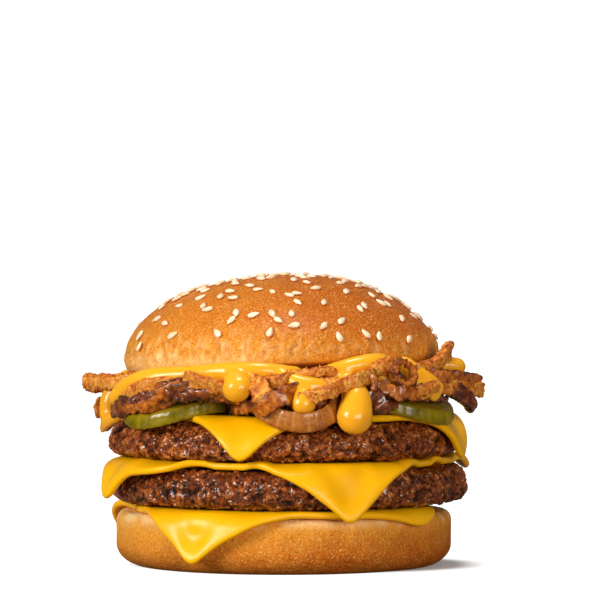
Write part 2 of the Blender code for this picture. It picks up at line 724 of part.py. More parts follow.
def build_filling(finishes):
    """The pickles, the onions and the sauce, each cut back from those that it lies against."""
    for name, place in PICKLES.items():
        shade(pickle_solid(name, place, finishes["pickle"]))
    onion_slice = slice_of_onion("onion_slice")
    onion_slice.data.materials.append(finishes["onion_slice"])
    shade(onion_slice)
    runs = [*SAUCE_RUNS, *back_runs()]
    sauce = sauce_pool("cheese_sauce")
    sauce.data.materials.append(finishes["sauce"])
    joined(sauce, "UNION", [run_solid(f"run_{i}", run) for i, run in enumerate(runs)])
    shade(sauce)

    heap = core_solid("onion_heap")
    heap.data.materials.append(finishes["onion"])
    strips = [*SHOWING_STRIPS, *back_strips()]
    pieces = [strip_solid(f"strip_{i}", strip) for i, strip in enumerate(strips)]
    joined(heap, "UNION", [*pieces, ring_solid("ring")])
    cutters = [pickle_pocket(f"pocket_{name}", place) for name, place in PICKLES.items()]
    cutters += [run_solid(f"cut_run_{i}", run, CUT_GAP) for i, run in enumerate(runs)]
    cutters += [sauce_pool("cut_pool", CUT_GAP), slice_of_onion("cut_slice", CUT_GAP)]
    joined(heap, "DIFFERENCE", cutters)
    shade(heap)


def main():
    for obj in list(bpy.data.objects):
        bpy.data.objects.remove(obj)
    finishes = {
        "crown": material("egg-washed crust", (0.60, 0.24, 0.045), 0.38),
        "heel": material("floury crust", (0.63, 0.29, 0.07), 0.6),
        "patty": material("grilled beef", (0.13, 0.05, 0.022), 0.45),
        "cheese": material("melted cheese", (0.95, 0.52, 0.02), 0.35),
        "pickle": material("pickled cucumber", (0.21, 0.19, 0.01), 0.25),
        "onion": material("fried onion", (0.50, 0.22, 0.045), 0.5),
        "onion_slice": material("cooked onion", (0.47, 0.21, 0.06), 0.25),
        "sauce": material("cheese sauce", (0.90, 0.45, 0.02), 0.2),
    }
    shade(layer_solid("bun_heel", HEEL, 4, 2, finishes["heel"]))
    shade(layer_solid("patty_lower", LOWER_PATTY, 2, 4, finishes["patty"], craggy=True))
    shade(layer_solid("patty_upper", UPPER_PATTY, 2, 4, finishes["patty"], craggy=True))
    for cheese in SLICES:
        shade(slice_solid(cheese, finishes["cheese"]))
    build_filling(finishes)

    crown = crown_solid("bun_crown", finishes["crown"])
    seeds = [seed_solid(f"seed_{i}", *place) for i, place in enumerate(seed_places())]
    joined(crown, "UNION", seeds)
    set_crown(crown)
    shade(crown)


main()
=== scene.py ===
"""Looks of a double cheeseburger with pickles, fried onions and cheese sauce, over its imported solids.

Lengths are in millimetres and are turned into metres where a mesh is made. The front faces -Y and
up is +Z. An angle is counted in degrees round the burger's axis, from the front, so that 90 is the
burger's right-hand side (+X).
"""

import logging
import math
import random
from dataclasses import dataclass
from enum import Enum
from typing import Iterable, Sequence

import bpy
import numpy as np
from mathutils import Matrix, Vector, noise


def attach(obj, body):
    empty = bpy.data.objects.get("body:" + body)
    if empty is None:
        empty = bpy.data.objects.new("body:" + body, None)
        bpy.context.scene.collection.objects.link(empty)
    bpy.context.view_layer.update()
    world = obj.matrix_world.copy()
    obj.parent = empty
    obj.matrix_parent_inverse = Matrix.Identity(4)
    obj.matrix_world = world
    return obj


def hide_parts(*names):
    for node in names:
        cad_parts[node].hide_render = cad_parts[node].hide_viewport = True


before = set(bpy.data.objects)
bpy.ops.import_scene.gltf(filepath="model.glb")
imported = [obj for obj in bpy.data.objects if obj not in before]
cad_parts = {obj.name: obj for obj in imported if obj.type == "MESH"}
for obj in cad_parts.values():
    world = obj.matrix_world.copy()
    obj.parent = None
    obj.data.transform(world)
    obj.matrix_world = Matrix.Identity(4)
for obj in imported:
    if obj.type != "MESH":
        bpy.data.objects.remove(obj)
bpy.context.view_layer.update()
LOG = logging.getLogger("burger")

MM = 0.001
GAP = 0.3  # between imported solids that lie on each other
FULL_TURN = 360.0
LEAN = math.tan(math.radians(2.1))  # how much higher the crown lies, for each millimetre to the right
Colour = tuple[float, float, float, float]
Place = tuple[float, float, float]


def srgb(red: int, green: int, blue: int) -> Colour:
    """A screen colour as the linear colour that a shader takes.

    Args:
        red: The red channel, 0 to 255.
        green: The green channel, 0 to 255.
        blue: The blue channel, 0 to 255.

    Returns:
        Linear red, green and blue, with an alpha of 1.
    """
    shares = [channel / 255 for channel in (red, green, blue)]
    linear = [s / 12.92 if s <= 0.04045 else ((s + 0.055) / 1.055) ** 2.4 for s in shares]
    return (linear[0], linear[1], linear[2], 1.0)


def polar(angle: float, radius: float, height: float) -> Vector:
    """The point at an angle, a radius and a height, in millimetres."""
    turn = math.radians(angle)
    return Vector((radius * math.sin(turn), -radius * math.cos(turn), height))


def off_centre(angle: float, centre: float) -> float:
    """The turn from a centre to an angle, from -180 to 180 degrees."""
    return (angle - centre + 180) % FULL_TURN - 180


def wobble(angle: float, wave: int) -> float:
    """A smooth closed wave round the burger, within -1 and 1.

    Args:
        angle: The angle in degrees.
        wave: Which wave it is.

    Returns:
        The wave's height there.
    """
    rule = random.Random(wave)
    total = 0.0
    for k in range(2, 7):
        total += math.cos(math.radians(k * angle) + rule.uniform(0, math.tau)) / k
    return total / 1.45


def smooth(share: float) -> float:
    """A share eased from 0 to 1, and held there outside that range."""
    share = min(max(share, 0.0), 1.0)
    return share * share * (3 - 2 * share)


def speckle(point: Vector, size: float, shift: float = 0.0) -> float:
    """Smooth noise of a lump size at a point, within about -1 and 1."""
    return noise.noise(point / size + Vector((shift, 0, 0)))


def through(places: Sequence[Vector], step: float) -> list[Vector]:
    """Points on a smooth curve through places.

    Args:
        places: The places that the curve passes.
        step: How far apart the points are, about.

    Returns:
        The points, from the first place to the last.
    """
    ends = [places[0] * 2 - places[1], *places, places[-1] * 2 - places[-2]]
    points = []
    for a, b, c, d in zip(ends, ends[1:], ends[2:], ends[3:]):
        steps = max(2, round((c - b).xyz.length / step))
        for i in range(steps):
            t = i / steps
            square, cube = (2 * a - 5 * b + 4 * c - d) * t**2, (3 * b - a - 3 * c + d) * t**3
            points.append(0.5 * (2 * b + (c - a) * t + square + cube))
    return points + [places[-1].copy()]


def section_axes(path: Sequence[Vector], i: int) -> tuple[Vector, Vector]:
    """The directions of a section across a path.

    Args:
        path: The path's points.
        i: The number of the point that the section is at.

    Returns:
        The outward and the crosswise direction, square to the path and to each other.
    """
    along = (path[min(i + 1, len(path) - 1)].xyz - path[max(i - 1, 0)].xyz).normalized()
    outward = Vector((path[i].x, path[i].y, 0)).normalized()
    outward = (outward - along * outward.dot(along)).normalized()
    return outward, along.cross(outward)


class Value:
    """A node's output, with the arithmetic that shader and geometry trees need."""

    def __init__(self, graph: "Graph", socket: bpy.types.NodeSocket) -> None:
        """Wraps one output socket of a graph."""
        self.graph = graph
        self.socket = socket

    def maths(self, operation: str, *others: "Value | float", swap: bool = False) -> "Value":
        """Adds one Math node.

        Args:
            operation: The node's operation.
            others: The operands after this one.
            swap: Whether this value comes second.

        Returns:
            The node's result.
        """
        operands = [*others, self] if swap else [self, *others]
        return self.graph.node("ShaderNodeMath", {"operation": operation}, dict(enumerate(operands)))

    def __add__(self, other: "Value | float") -> "Value":
        """The sum."""
        return self.maths("ADD", other)

    def __sub__(self, other: "Value | float") -> "Value":
        """The difference."""
        return self.maths("SUBTRACT", other)

    def __mul__(self, other: "Value | float") -> "Value":
        """The product."""
        return self.maths("MULTIPLY", other)

    def __pow__(self, other: "Value | float") -> "Value":
        """The power."""
        return self.maths("POWER", other)

    def __radd__(self, other: float) -> "Value":
        """The sum, from a plain number."""
        return self.maths("ADD", other)

    def __rsub__(self, other: float) -> "Value":
        """The difference, from a plain number."""
        return self.maths("SUBTRACT", other, swap=True)

    def __rmul__(self, other: float) -> "Value":
        """The product, from a plain number."""
        return self.maths("MULTIPLY", other)

    def above(self, low: float, high: float) -> "Value":
        """Eases from 0 at the low number to 1 at the high one, and held outside them."""
        settings = {"interpolation_type": "SMOOTHSTEP"}
        return self.graph.node("ShaderNodeMapRange", settings, {0: self, 1: low, 2: high, 3: 0.0, 4: 1.0})

    def ramp(self, *stops: tuple[float, Colour]) -> "Value":
        """Colours along this value.

        Args:
            stops: Each stop's place and colour.

        Returns:
            The colour.
        """
        made = self.graph.add("ShaderNodeValToRGB", {}, {0: self})
        elements = made.color_ramp.elements
        while len(elements) < len(stops):
            elements.new(1.0)
        for element, (place, colour) in zip(elements, stops):
            element.position = place
            element.color = colour
        return Value(self.graph, made.outputs[0])


class Graph:
    """Adds nodes to a shader's or a geometry's tree."""

    def __init__(self, tree: bpy.types.NodeTree) -> None:
        """Takes the tree that the nodes go into."""
        self.tree = tree

    def add(self, kind: str, settings: dict, sockets: dict) -> bpy.types.Node:
        """Makes any node.

        Args:
            kind: The node's type.
            settings: Its properties, set first.
            sockets: Values or links for its inputs, by name or number.

        Returns:
            The node.
        """
        made = self.tree.nodes.new(kind)
        for key, value in settings.items():
            setattr(made, key, value)
        for key, value in sockets.items():
            if isinstance(value, Value):
                self.tree.links.new(value.socket, made.inputs[key])
            else:
                made.inputs[key].default_value = value
        return made

    def node(self, kind: str, settings: dict, sockets: dict, output: int | str = 0) -> Value:
        """Makes any node and gives one of its outputs. The arguments are those of add."""
        return Value(self, self.add(kind, settings, sockets).outputs[output])

    def blend(
        self, share: Value | float, first: Value | Colour, second: Value | Colour, how: str = "MIX"
    ) -> Value:
        """Mixes two colours.

        Args:
            share: How much of the second colour shows.
            first: The colour at 0.
            second: The colour at 1.
            how: The way that the Mix node blends.

        Returns:
            The mixed colour.
        """
        settings = {"data_type": "RGBA", "blend_type": how}
        return self.node("ShaderNodeMix", settings, {0: share, 6: first, 7: second}, 2)


class Shader(Graph):
    """The graph of one material, with patterns sized in millimetres on Object coordinates."""

    def __init__(self, name: str) -> None:
        """Makes an empty material of that name.

        Args:
            name: The material's name.
        """
        self.material = bpy.data.materials.new(name)
        self.material.use_nodes = True
        super().__init__(self.material.node_tree)
        self.principled = self.tree.nodes["Principled BSDF"]
        self.place = self.node("ShaderNodeTexCoord", {}, {}, "Object")

    def noise(self, size: float, detail: float = 3.0, rough: float = 0.55, warp: float = 0.0) -> Value:
        """Noise with lumps of a size.

        Args:
            size: The lump size in millimetres.
            detail: How many finer layers it has.
            rough: How strong they are.
            warp: How much the pattern is distorted.

        Returns:
            The noise, about 0.5 on average.
        """
        sockets = {"Vector": self.place, "Scale": 1000 / size, "Detail": detail, "Roughness": rough}
        return self.node("ShaderNodeTexNoise", {}, {**sockets, "Distortion": warp})

    def cells(self, size: float, feature: str = "F1", output: str = "Distance") -> Value:
        """Voronoi cells of a size in millimetres."""
        sockets = {"Vector": self.place, "Scale": 1000 / size}
        return self.node("ShaderNodeTexVoronoi", {"feature": feature}, sockets, output)

    def height(self) -> Value:
        """The height over the table, in millimetres, with the crown's lean taken out.

        Returns:
            The height.
        """
        parts = self.add("ShaderNodeSeparateXYZ", {}, {0: self.place})
        across, up = Value(self, parts.outputs[0]), Value(self, parts.outputs[2])
        return (up - across * LEAN) * 1000.0

    def across(self) -> Value:
        """The distance to the burger's right, in millimetres."""
        return Value(self, self.add("ShaderNodeSeparateXYZ", {}, {0: self.place}).outputs[0]) * 1000.0

    def attribute(self, name: str) -> Value:
        """A number that the mesh carries."""
        return self.node("ShaderNodeAttribute", {"attribute_name": name}, {}, "Fac")

    def bump(self, height: Value, depth: float, under: Value | None = None) -> Value:
        """A bump of a depth in millimetres, over another one if given.

        Args:
            height: What rises and falls.
            depth: How deep it is.
            under: The bump beneath it, or none.

        Returns:
            The normal.
        """
        sockets = {"Height": height, "Distance": depth * MM, "Strength": 1.0}
        if under:
            sockets["Normal"] = under
        return self.node("ShaderNodeBump", {}, sockets)

    def finish(self, **sockets: Value | float | Colour) -> bpy.types.Material:
        """Sets the Principled BSDF's inputs, with their names in lower case and joined by underscores.

        Returns:
            The material.
        """
        for key, value in sockets.items():
            words = key.replace("_", " ")
            name = next(i.name for i in self.principled.inputs if i.name.lower() == words)
            if isinstance(value, Value):
                self.tree.links.new(value.socket, self.principled.inputs[name])
            else:
                self.principled.inputs[name].default_value = value
        return self.material


SPOT_SHADE = srgb(222, 176, 112)
CREASE_SHADE = srgb(255, 224, 160)


@dataclass(frozen=True)
class Crust:
    """Baked bread: the crown's is egg-washed and shiny, the heel's matt and floury."""

    name: str
    low: float  # the height where the pale lower colour ends
    high: float  # the height where the full brown starts
    pale: Colour
    golden: Colour
    brown: Colour
    roughness: float
    gloss: float
    pore_depth: float
    speckle: float  # how strong the fine spots are
    shine: float
    uneven: float  # how much darker the right side is painted: partly deeper baking, partly painted shade

    def material(self) -> bpy.types.Material:
        """The crust's material.

        Returns:
            The material.
        """
        s = Shader(self.name)
        mottle = s.noise(9.0, 4.0, 0.6)
        fine = s.noise(0.8, 3.0, 0.7)
        rise = s.height().above(self.low, self.high)
        # Darker towards the right side: partly deeper baking, partly painted shade.
        baked = rise * 0.6 + mottle * 0.4 - 0.03 + s.across().above(-30.0, 40.0) * self.uneven
        colour = baked.ramp((0.1, self.pale), (0.46, self.golden), (0.95, self.brown))
        colour = s.blend(fine.above(0.48, 0.66) * self.speckle, colour, SPOT_SHADE, "MULTIPLY")
        # Paler where the crease mark is high. On the crown's lower front folds and ridges this is partly
        # paler crust and partly painted highlight; on the heel's cut top edge it is paler crumb.
        colour = s.blend(s.attribute("crease") * 0.7, colour, CREASE_SHADE)
        flour = s.noise(0.6, 2.0, 0.5).above(0.56, 0.68)
        colour = s.blend(flour * self.speckle * 0.8, colour, self.pale)
        skin = s.bump(s.noise(0.5, 3.0, 0.7), self.pore_depth)
        skin = s.bump(s.noise(1.1, 2.0, 0.6), self.pore_depth * 1.1, skin)
        skin = s.bump(s.noise(5.0, 3.0, 0.55), self.pore_depth * 2.0, skin)
        rough = self.roughness + (mottle - 0.5) * 0.2 + (fine - 0.5) * 0.5
        return s.finish(
            base_color=colour,
            roughness=rough,
            normal=skin,
            coat_weight=self.gloss,
            coat_roughness=0.35,
            specular_ior_level=self.shine,
            subsurface_weight=0.05,
            subsurface_scale=0.002,
        )


@dataclass(frozen=True)
class Seed:
    """Hulled sesame, cream with a darker side."""

    name: str
    pale: Colour
    toasted: Colour

    def material(self) -> bpy.types.Material:
        """The seeds' material.

        Returns:
            The material.
        """
        s = Shader(self.name)
        tone = s.noise(2.6, 2.0).above(0.35, 0.75)
        colour = s.blend(tone, self.pale, self.toasted)
        skin = s.bump(s.noise(0.5, 2.0), 0.05)
        return s.finish(
            base_color=colour,
            roughness=0.42,
            normal=skin,
            coat_weight=0.25,
            subsurface_weight=0.15,
            subsurface_scale=0.0012,
        )


@dataclass(frozen=True)
class Beef:
    """Grilled mince: brown lumps with painted shade in the pits and painted light on their tops, char and
    wet fat.
    """

    name: str
    # The darkest colour: real char specks, and painted shade in the pits.
    pit: Colour
    dark: Colour
    brown: Colour
    light: Colour
    fat: Colour

    def material(self) -> bpy.types.Material:
        """The patties' material.

        Returns:
            The material.
        """
        s = Shader(self.name)
        crag = s.attribute("crag")
        patches = s.noise(8.0, 3.0, 0.6)
        grain = s.noise(1.4, 4.0, 0.65)
        # Painted shade: a little darker on the lower patty.
        lower = 1.0 - s.height().above(32.0, 36.0)
        # The crags set the tone: painted shade in the crevices and painted highlight on the lump tops, over
        # random grain and patches.
        tone = crag * 0.6 + grain * 1.3 + patches * 0.4 - 0.69 - lower * 0.07
        colour = tone.ramp((0.1, self.pit), (0.3, self.dark), (0.54, self.brown), (0.88, self.light))
        char = s.noise(0.75, 1.5, 0.5).above(0.57, 0.6) * s.noise(4.0, 2.0).above(0.36, 0.46)
        colour = s.blend(char * 0.85, colour, self.pit)
        fatty = s.noise(1.0, 2.0, 0.5).above(0.62, 0.7) * crag.above(0.45, 0.7)
        colour = s.blend(fatty * 0.55, colour, self.fat)
        wet = s.noise(2.2, 3.0, 0.6).above(0.44, 0.54)
        skin = s.bump(s.noise(0.6, 2.0, 0.6), 0.4)
        skin = s.bump(s.noise(1.3, 3.0, 0.6), 1.1, skin)
        return s.finish(
            base_color=colour,
            roughness=0.55 - wet * 0.3,
            normal=skin,
            coat_weight=wet * crag.above(0.15, 0.45) * 0.9,
            coat_roughness=0.15,
            specular_ior_level=0.16,
        )


@dataclass(frozen=True)
class Cheese:
    """Melted slices, and the sauce that is poured from the same cheese."""

    name: str
    colour: Colour
    deep: Colour
    roughness: float
    gloss: float
    coat_roughness: float
    dimple: float

    def material(self) -> bpy.types.Material:
        """The cheese's material.

        Returns:
            The material.
        """
        s = Shader(self.name)
        tone = s.noise(14.0, 2.0, 0.5).above(0.35, 0.7)
        colour = s.blend(tone * 0.35, self.colour, self.deep)
        pocks = s.cells(11.0).above(0.07, 0.11)
        skin = s.bump(s.noise(5.0, 2.0, 0.4), self.dimple)
        skin = s.bump(pocks, self.dimple * 0.5, skin)
        return s.finish(
            base_color=colour,
            roughness=self.roughness + (s.noise(3.0, 2.0) - 0.5) * 0.12,
            normal=skin,
            coat_weight=self.gloss,
            coat_roughness=self.coat_roughness,
            specular_ior_level=0.16,
            subsurface_weight=0.22,
            subsurface_scale=0.003,
            subsurface_radius=(1.0, 0.55, 0.12),
        )


@dataclass(frozen=True)
class Pickle:
    """Pickled cucumber: dark green skin round a paler, wet slice."""

    name: str
    skin: Colour
    bright: Colour
    flesh: Colour

    def material(self) -> bpy.types.Material:
        """The pickles' material.

        Returns:
            The material.
        """
        s = Shader(self.name)
        patches = s.noise(7.0, 3.0, 0.55)
        colour = patches.ramp((0.3, self.skin), (0.7, self.bright))
        specks = s.noise(0.9, 2.0).above(0.64, 0.74)
        colour = s.blend(specks * 0.4, colour, self.bright)
        colour = s.blend(s.attribute("flesh"), colour, self.flesh)
        bumps = s.bump(s.noise(1.6, 3.0, 0.5), 0.22)
        return s.finish(
            base_color=colour,
            roughness=0.36,
            normal=bumps,
            coat_weight=s.noise(5.0, 2.0).above(0.45, 0.55) * 0.7,
            coat_roughness=0.2,
            specular_ior_level=0.14,
            subsurface_weight=0.15,
            subsurface_scale=0.002,
        )


@dataclass(frozen=True)
class Onion:
    """Onion, from pale and glassy to crisp or caramelised, with painted shade in its hollows and darker
    burnt edges.
    """

    name: str
    dark: Colour
    middle: Colour
    light: Colour
    grain: float  # lump size of the colour, in millimetres
    roughness: float
    gloss: float
    relief: float
    glow: float
    mottle: float  # how strongly its colour varies

    def material(self) -> bpy.types.Material:
        """This onion's material.

        Returns:
            The material.
        """
        s = Shader(self.name)
        # The hollow mark is painted shade in the hollows of the strips and the tangle, with the raised
        # lumps lighter as painted highlight. It also carries real darker burnt edges, and the slice's paler
        # veins and darker edges.
        tone = 1.0 - s.attribute("hollow") + (s.noise(self.grain, 3.0, 0.6) - 0.5) * self.mottle
        tone = tone + (s.noise(self.grain * 5, 2.0) - 0.5) * 0.5
        colour = tone.ramp((0.08, self.dark), (0.48, self.middle), (0.95, self.light))
        skin = s.bump(s.noise(0.7, 4.0, 0.65), self.relief)
        skin = s.bump(s.noise(2.4, 2.0, 0.5), self.relief + 0.35, skin)
        return s.finish(
            base_color=colour,
            roughness=self.roughness + (s.noise(2.0, 2.0) - 0.5) * 0.2,
            normal=skin,
            coat_weight=self.gloss,
            coat_roughness=0.12,
            specular_ior_level=0.35,
            subsurface_weight=self.glow,
            subsurface_scale=0.0015,
        )


@dataclass(frozen=True)
class Floor:
    """A white studio floor, with a soft shadow by the burger and the backdrop's glow further off."""

    name: str = "studio floor"
    near: float = 0.047  # metres from the middle of the shadow
    far: float = 0.063
    shadow_middle: Place = (0.008, 0.0, 0.0)
    narrowing: Place = (1.0, 1.5, 1.0)  # how much sooner the glow starts along each axis

    def material(self) -> bpy.types.Material:
        """The floor's material.

        Returns:
            The material.
        """
        s = Shader(self.name)
        sockets = {0: s.place, 1: self.shadow_middle}
        offset = s.node("ShaderNodeVectorMath", {"operation": "SUBTRACT"}, sockets)
        sockets = {0: offset, 1: self.narrowing}
        narrow = s.node("ShaderNodeVectorMath", {"operation": "MULTIPLY"}, sockets)
        away = s.node("ShaderNodeVectorMath", {"operation": "LENGTH"}, {0: narrow}, "Value")
        share = away.above(self.near, self.far)
        glow = s.blend(share, (0.12, 0.12, 0.12, 1.0), (1.1, 1.1, 1.1, 1.0))
        s.finish(
            base_color=s.blend(share, (0.9, 0.9, 0.9, 1.0), (0.2, 0.2, 0.2, 1.0)),
            roughness=1.0,
            specular_ior_level=0.0,
            emission_color=glow,
            emission_strength=1.0,
        )
        dim = s.add("ShaderNodeBsdfDiffuse", {}, {"Color": (0.22, 0.19, 0.16, 1.0)})
        seen = s.node("ShaderNodeLightPath", {}, {}, "Is Camera Ray")
        mixed = s.add("ShaderNodeMixShader", {}, {0: seen})
        s.tree.links.new(dim.outputs[0], mixed.inputs[1])
        s.tree.links.new(s.principled.outputs[0], mixed.inputs[2])
        s.tree.links.new(mixed.outputs[0], s.tree.nodes["Material Output"].inputs["Surface"])
        return s.material


CROWN_CRUST = Crust(
    "egg-washed crust", 62.0, 80.0, srgb(252, 204, 126), srgb(231, 151, 36), srgb(200, 104, 4),
    0.42, 0.16, 0.4, 0.7, 0.12, 0.32,
)
HEEL_CRUST = Crust(
    "floury crust", 24.0, 2.0, srgb(254, 200, 112), srgb(244, 164, 52), srgb(184, 84, 0),
    0.66, 0.0, 0.4, 0.7, 0.15, 0.1,
)
SESAME = Seed("sesame", srgb(252, 226, 196), srgb(238, 198, 154))
BEEF = Beef(
    "grilled beef", srgb(28, 10, 2), srgb(94, 40, 8), srgb(160, 77, 22), srgb(228, 142, 68),
    srgb(255, 218, 166),
)
SLICED_CHEESE = Cheese("melted cheese", srgb(254, 186, 0), srgb(248, 166, 0), 0.38, 0.24, 0.26, 0.15)
SAUCE = Cheese("cheese sauce", srgb(243, 172, 32), srgb(236, 158, 16), 0.3, 0.55, 0.18, 0.06)
PICKLED = Pickle("pickled cucumber", srgb(100, 90, 0), srgb(164, 140, 0), srgb(150, 116, 20))
CRISP_ONION = Onion(
    "crisp onion", srgb(92, 34, 2), srgb(206, 108, 10), srgb(248, 190, 82), 1.0, 0.46, 0.15, 0.5, 0.1, 0.9
)
DARK_ONION = Onion(
    "caramelised onion", srgb(16, 4, 0), srgb(88, 32, 0), srgb(178, 92, 18), 2.2, 0.2, 0.9, 0.16, 0.08, 0.9
)
GOLDEN_ONION = Onion(
    "golden onion", srgb(60, 20, 0), srgb(150, 68, 2), srgb(226, 136, 36), 2.0, 0.24, 0.6, 0.2, 0.15, 0.9
)
CLEAR_ONION = Onion(
    "cooked onion", srgb(112, 54, 4), srgb(172, 100, 24), srgb(218, 158, 84), 2.0, 0.28, 0.5, 0.2, 0.15, 0.6
)
# Darker than the strips: caramelised onion, and partly painted shade between the strips.
HEAP_ONION = Onion(
    "onion tangle", srgb(16, 4, 2), srgb(70, 26, 6), srgb(140, 66, 14), 1.6, 0.4, 0.4, 0.4, 0.05, 0.6
)


def new_object(
    name: str, points: np.ndarray, faces: np.ndarray, finish: bpy.types.Material | None
) -> bpy.types.Object:
    """An object at the origin.

    Args:
        name: The object's name.
        points: Its points in millimetres.
        faces: Rows of point numbers, three or four to a face. A triangle repeats its last one.
        finish: Its material, if it has one by now.

    Returns:
        The object, in the scene and shaded smooth.
    """
    mesh = bpy.data.meshes.new(name)
    rows = [tuple(dict.fromkeys(row)) for row in faces.tolist()]
    mesh.from_pydata((points * MM).tolist(), [], rows)
    mesh.shade_smooth()
    made = bpy.data.objects.new(name, mesh)
    bpy.context.scene.collection.objects.link(made)
    if finish:
        mesh.materials.append(finish)
    return made


def skin_faces(rows: int, columns: int) -> np.ndarray:
    """Faces over rings of points that follow a first point and precede a last one.

    Args:
        rows: How many rings there are.
        columns: How many points each ring has.

    Returns:
        The faces, pointing outwards where the rings turn anticlockwise and rise.
    """
    here = np.arange(columns)
    after = (here + 1) % columns
    faces = [np.stack([np.zeros(columns, int), 1 + after, 1 + here, 1 + here], 1)]
    for k in range(rows - 1):
        low, high = 1 + k * columns, 1 + (k + 1) * columns
        faces.append(np.stack([low + here, low + after, high + after, high + here], 1))
    top, last = 1 + (rows - 1) * columns, 1 + rows * columns
    tip = np.full(columns, last)
    faces.append(np.stack([top + here, top + after, tip, tip], 1))
    return np.concatenate(faces)


@dataclass
class Solid:
    """Points and faces of one closed piece, with a number on each point for its material."""

    points: np.ndarray
    faces: np.ndarray
    marks: np.ndarray

    @classmethod
    def from_rings(cls, rings: np.ndarray, marks: np.ndarray | None = None) -> "Solid":
        """A closed piece over rings of points.

        Args:
            rings: The rings, shaped ring by point by 3.
            marks: The number on each ring's points, or none.

        Returns:
            The piece, facing outwards.
        """
        rows, columns, _ = rings.shape
        ends = rings[[0, -1]].mean(axis=1)
        points = np.concatenate([ends[:1], rings.reshape(-1, 3), ends[1:]])
        if marks is None:
            marks = np.zeros((rows, columns))
        marks = np.concatenate([[marks[0].mean()], marks.reshape(-1), [marks[-1].mean()]])
        made = cls(points, skin_faces(rows, columns), marks)
        if made.volume() < 0:
            made.faces = made.faces[:, ::-1]
        return made

    def volume(self) -> float:
        """The volume that the faces enclose, negative where they point inwards."""
        a, b, c, d = (self.points[self.faces[:, i]] for i in range(4))
        return float(np.einsum("ij,ij->", a, np.cross(b, c) + np.cross(c, d)) / 6)

    @classmethod
    def joined(cls, solids: Iterable["Solid"]) -> "Solid":
        """Several pieces as one mesh of loose shells.

        Args:
            solids: The pieces.

        Returns:
            The joined piece.
        """
        points, faces, marks, start = [], [], [], 0
        for solid in solids:
            points.append(solid.points)
            faces.append(solid.faces + start)
            marks.append(solid.marks)
            start += len(solid.points)
        return cls(np.concatenate(points), np.concatenate(faces), np.concatenate(marks))

    def to_object(
        self, name: str, finish: bpy.types.Material | None, mark: str | None = None
    ) -> bpy.types.Object:
        """The piece as an object.

        Args:
            name: The object's name.
            finish: Its material.
            mark: What the numbers on its points are called in the material.

        Returns:
            The object.
        """
        made = new_object(name, self.points, self.faces, finish)
        if mark:
            layer = made.data.attributes.new(mark, "FLOAT", "POINT")
            layer.data.foreach_set("value", self.marks.astype(np.float32))
        return made


def dress(piece: bpy.types.Object, slot: str, *nodes: str) -> bpy.types.Object:
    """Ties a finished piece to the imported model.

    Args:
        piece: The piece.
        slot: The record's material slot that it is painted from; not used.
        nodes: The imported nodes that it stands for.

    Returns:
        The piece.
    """
    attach(piece, "root")
    if nodes:
        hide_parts(*nodes)
    LOG.info("%s: %d faces, for %s", piece.name, len(piece.data.polygons), ", ".join(nodes))
    return piece


@dataclass(frozen=True)
class Layer:
    """A round layer, a bun half or a patty, given by the profile of its side."""

    centre_x: float
    radius: float
    bottom: float
    top: float
    shoulder: tuple[float, float]  # how far the upper edge rounds inwards, and down
    toe: tuple[float, float]  # how far the lower edge rounds inwards, and up
    uneven: float
    wave: int

    def rim(self, angle: float) -> float:
        """The radius at an angle."""
        return self.radius * (1 + self.uneven * wobble(angle, self.wave))

    def flat_radius(self, angle: float) -> float:
        """The radius at which the flat top ends."""
        return self.rim(angle) - self.shoulder[0]

    def profile(self, step: float, inside: float) -> np.ndarray:
        """The side's profile, as (radius less the rim's, height) points.

        Args:
            step: How far apart the points are.
            inside: How far the flat faces are followed inwards at that step.

        Returns:
            The points, from the underside round the side to the top.
        """
        points = [(-self.toe[0] - d, self.bottom) for d in np.arange(inside, 0, -step)]
        toe_steps = max(3, round(1.6 * (self.toe[0] + self.toe[1]) / 2 / step))
        for turn in np.linspace(0, math.pi / 2, toe_steps):
            across, up = 1 - math.sin(turn), 1 - math.cos(turn)
            points.append((-self.toe[0] * across, self.bottom + self.toe[1] * up))
        low, high = self.bottom + self.toe[1], self.top - self.shoulder[1]
        points += [(0.0, height) for height in np.arange(low + step, high - step / 2, step)]
        shoulder_steps = max(3, round(1.6 * (self.shoulder[0] + self.shoulder[1]) / 2 / step))
        for turn in np.linspace(0, math.pi / 2, shoulder_steps):
            across, up = 1 - math.cos(turn), math.sin(turn)
            points.append((-self.shoulder[0] * across, high + self.shoulder[1] * up))
        points += [(-self.shoulder[0] - d, self.top) for d in np.arange(step, inside, step)]
        return np.array(points)

    def solid(self, step: float, inside: float) -> Solid:
        """The whole layer as a fine closed piece.

        Args:
            step: How far apart its points are.
            inside: How far the flat faces are followed inwards.

        Returns:
            The piece.
        """
        profile = self.profile(step, inside)
        columns = round(math.tau * self.radius / step)
        angles = np.arange(columns) * FULL_TURN / columns
        rims = np.array([self.rim(a) for a in angles])
        turns = np.radians(angles)
        radii = rims[None, :] + profile[:, :1]
        heights = np.repeat(profile[:, 1:], columns, axis=1)
        rings = np.stack([self.centre_x + radii * np.sin(turns), -radii * np.cos(turns), heights], 2)
        return Solid.from_rings(rings)


HEEL_TOP = 17.6
SLICE = 2.2
LOWER_PATTY_BOTTOM = HEEL_TOP + SLICE + 2 * GAP
LOWER_PATTY_TOP = LOWER_PATTY_BOTTOM + 12.0
UPPER_PATTY_BOTTOM = LOWER_PATTY_TOP + SLICE + 2 * GAP
UPPER_PATTY_TOP = UPPER_PATTY_BOTTOM + 11.6
FILLING_BOTTOM = UPPER_PATTY_TOP + SLICE + 2 * GAP
FILLING_TOP = FILLING_BOTTOM + 10.7
SAUCE_BOTTOM = FILLING_TOP + GAP
SAUCE_TOP = SAUCE_BOTTOM + 2.4
CROWN_BOTTOM = SAUCE_TOP + GAP

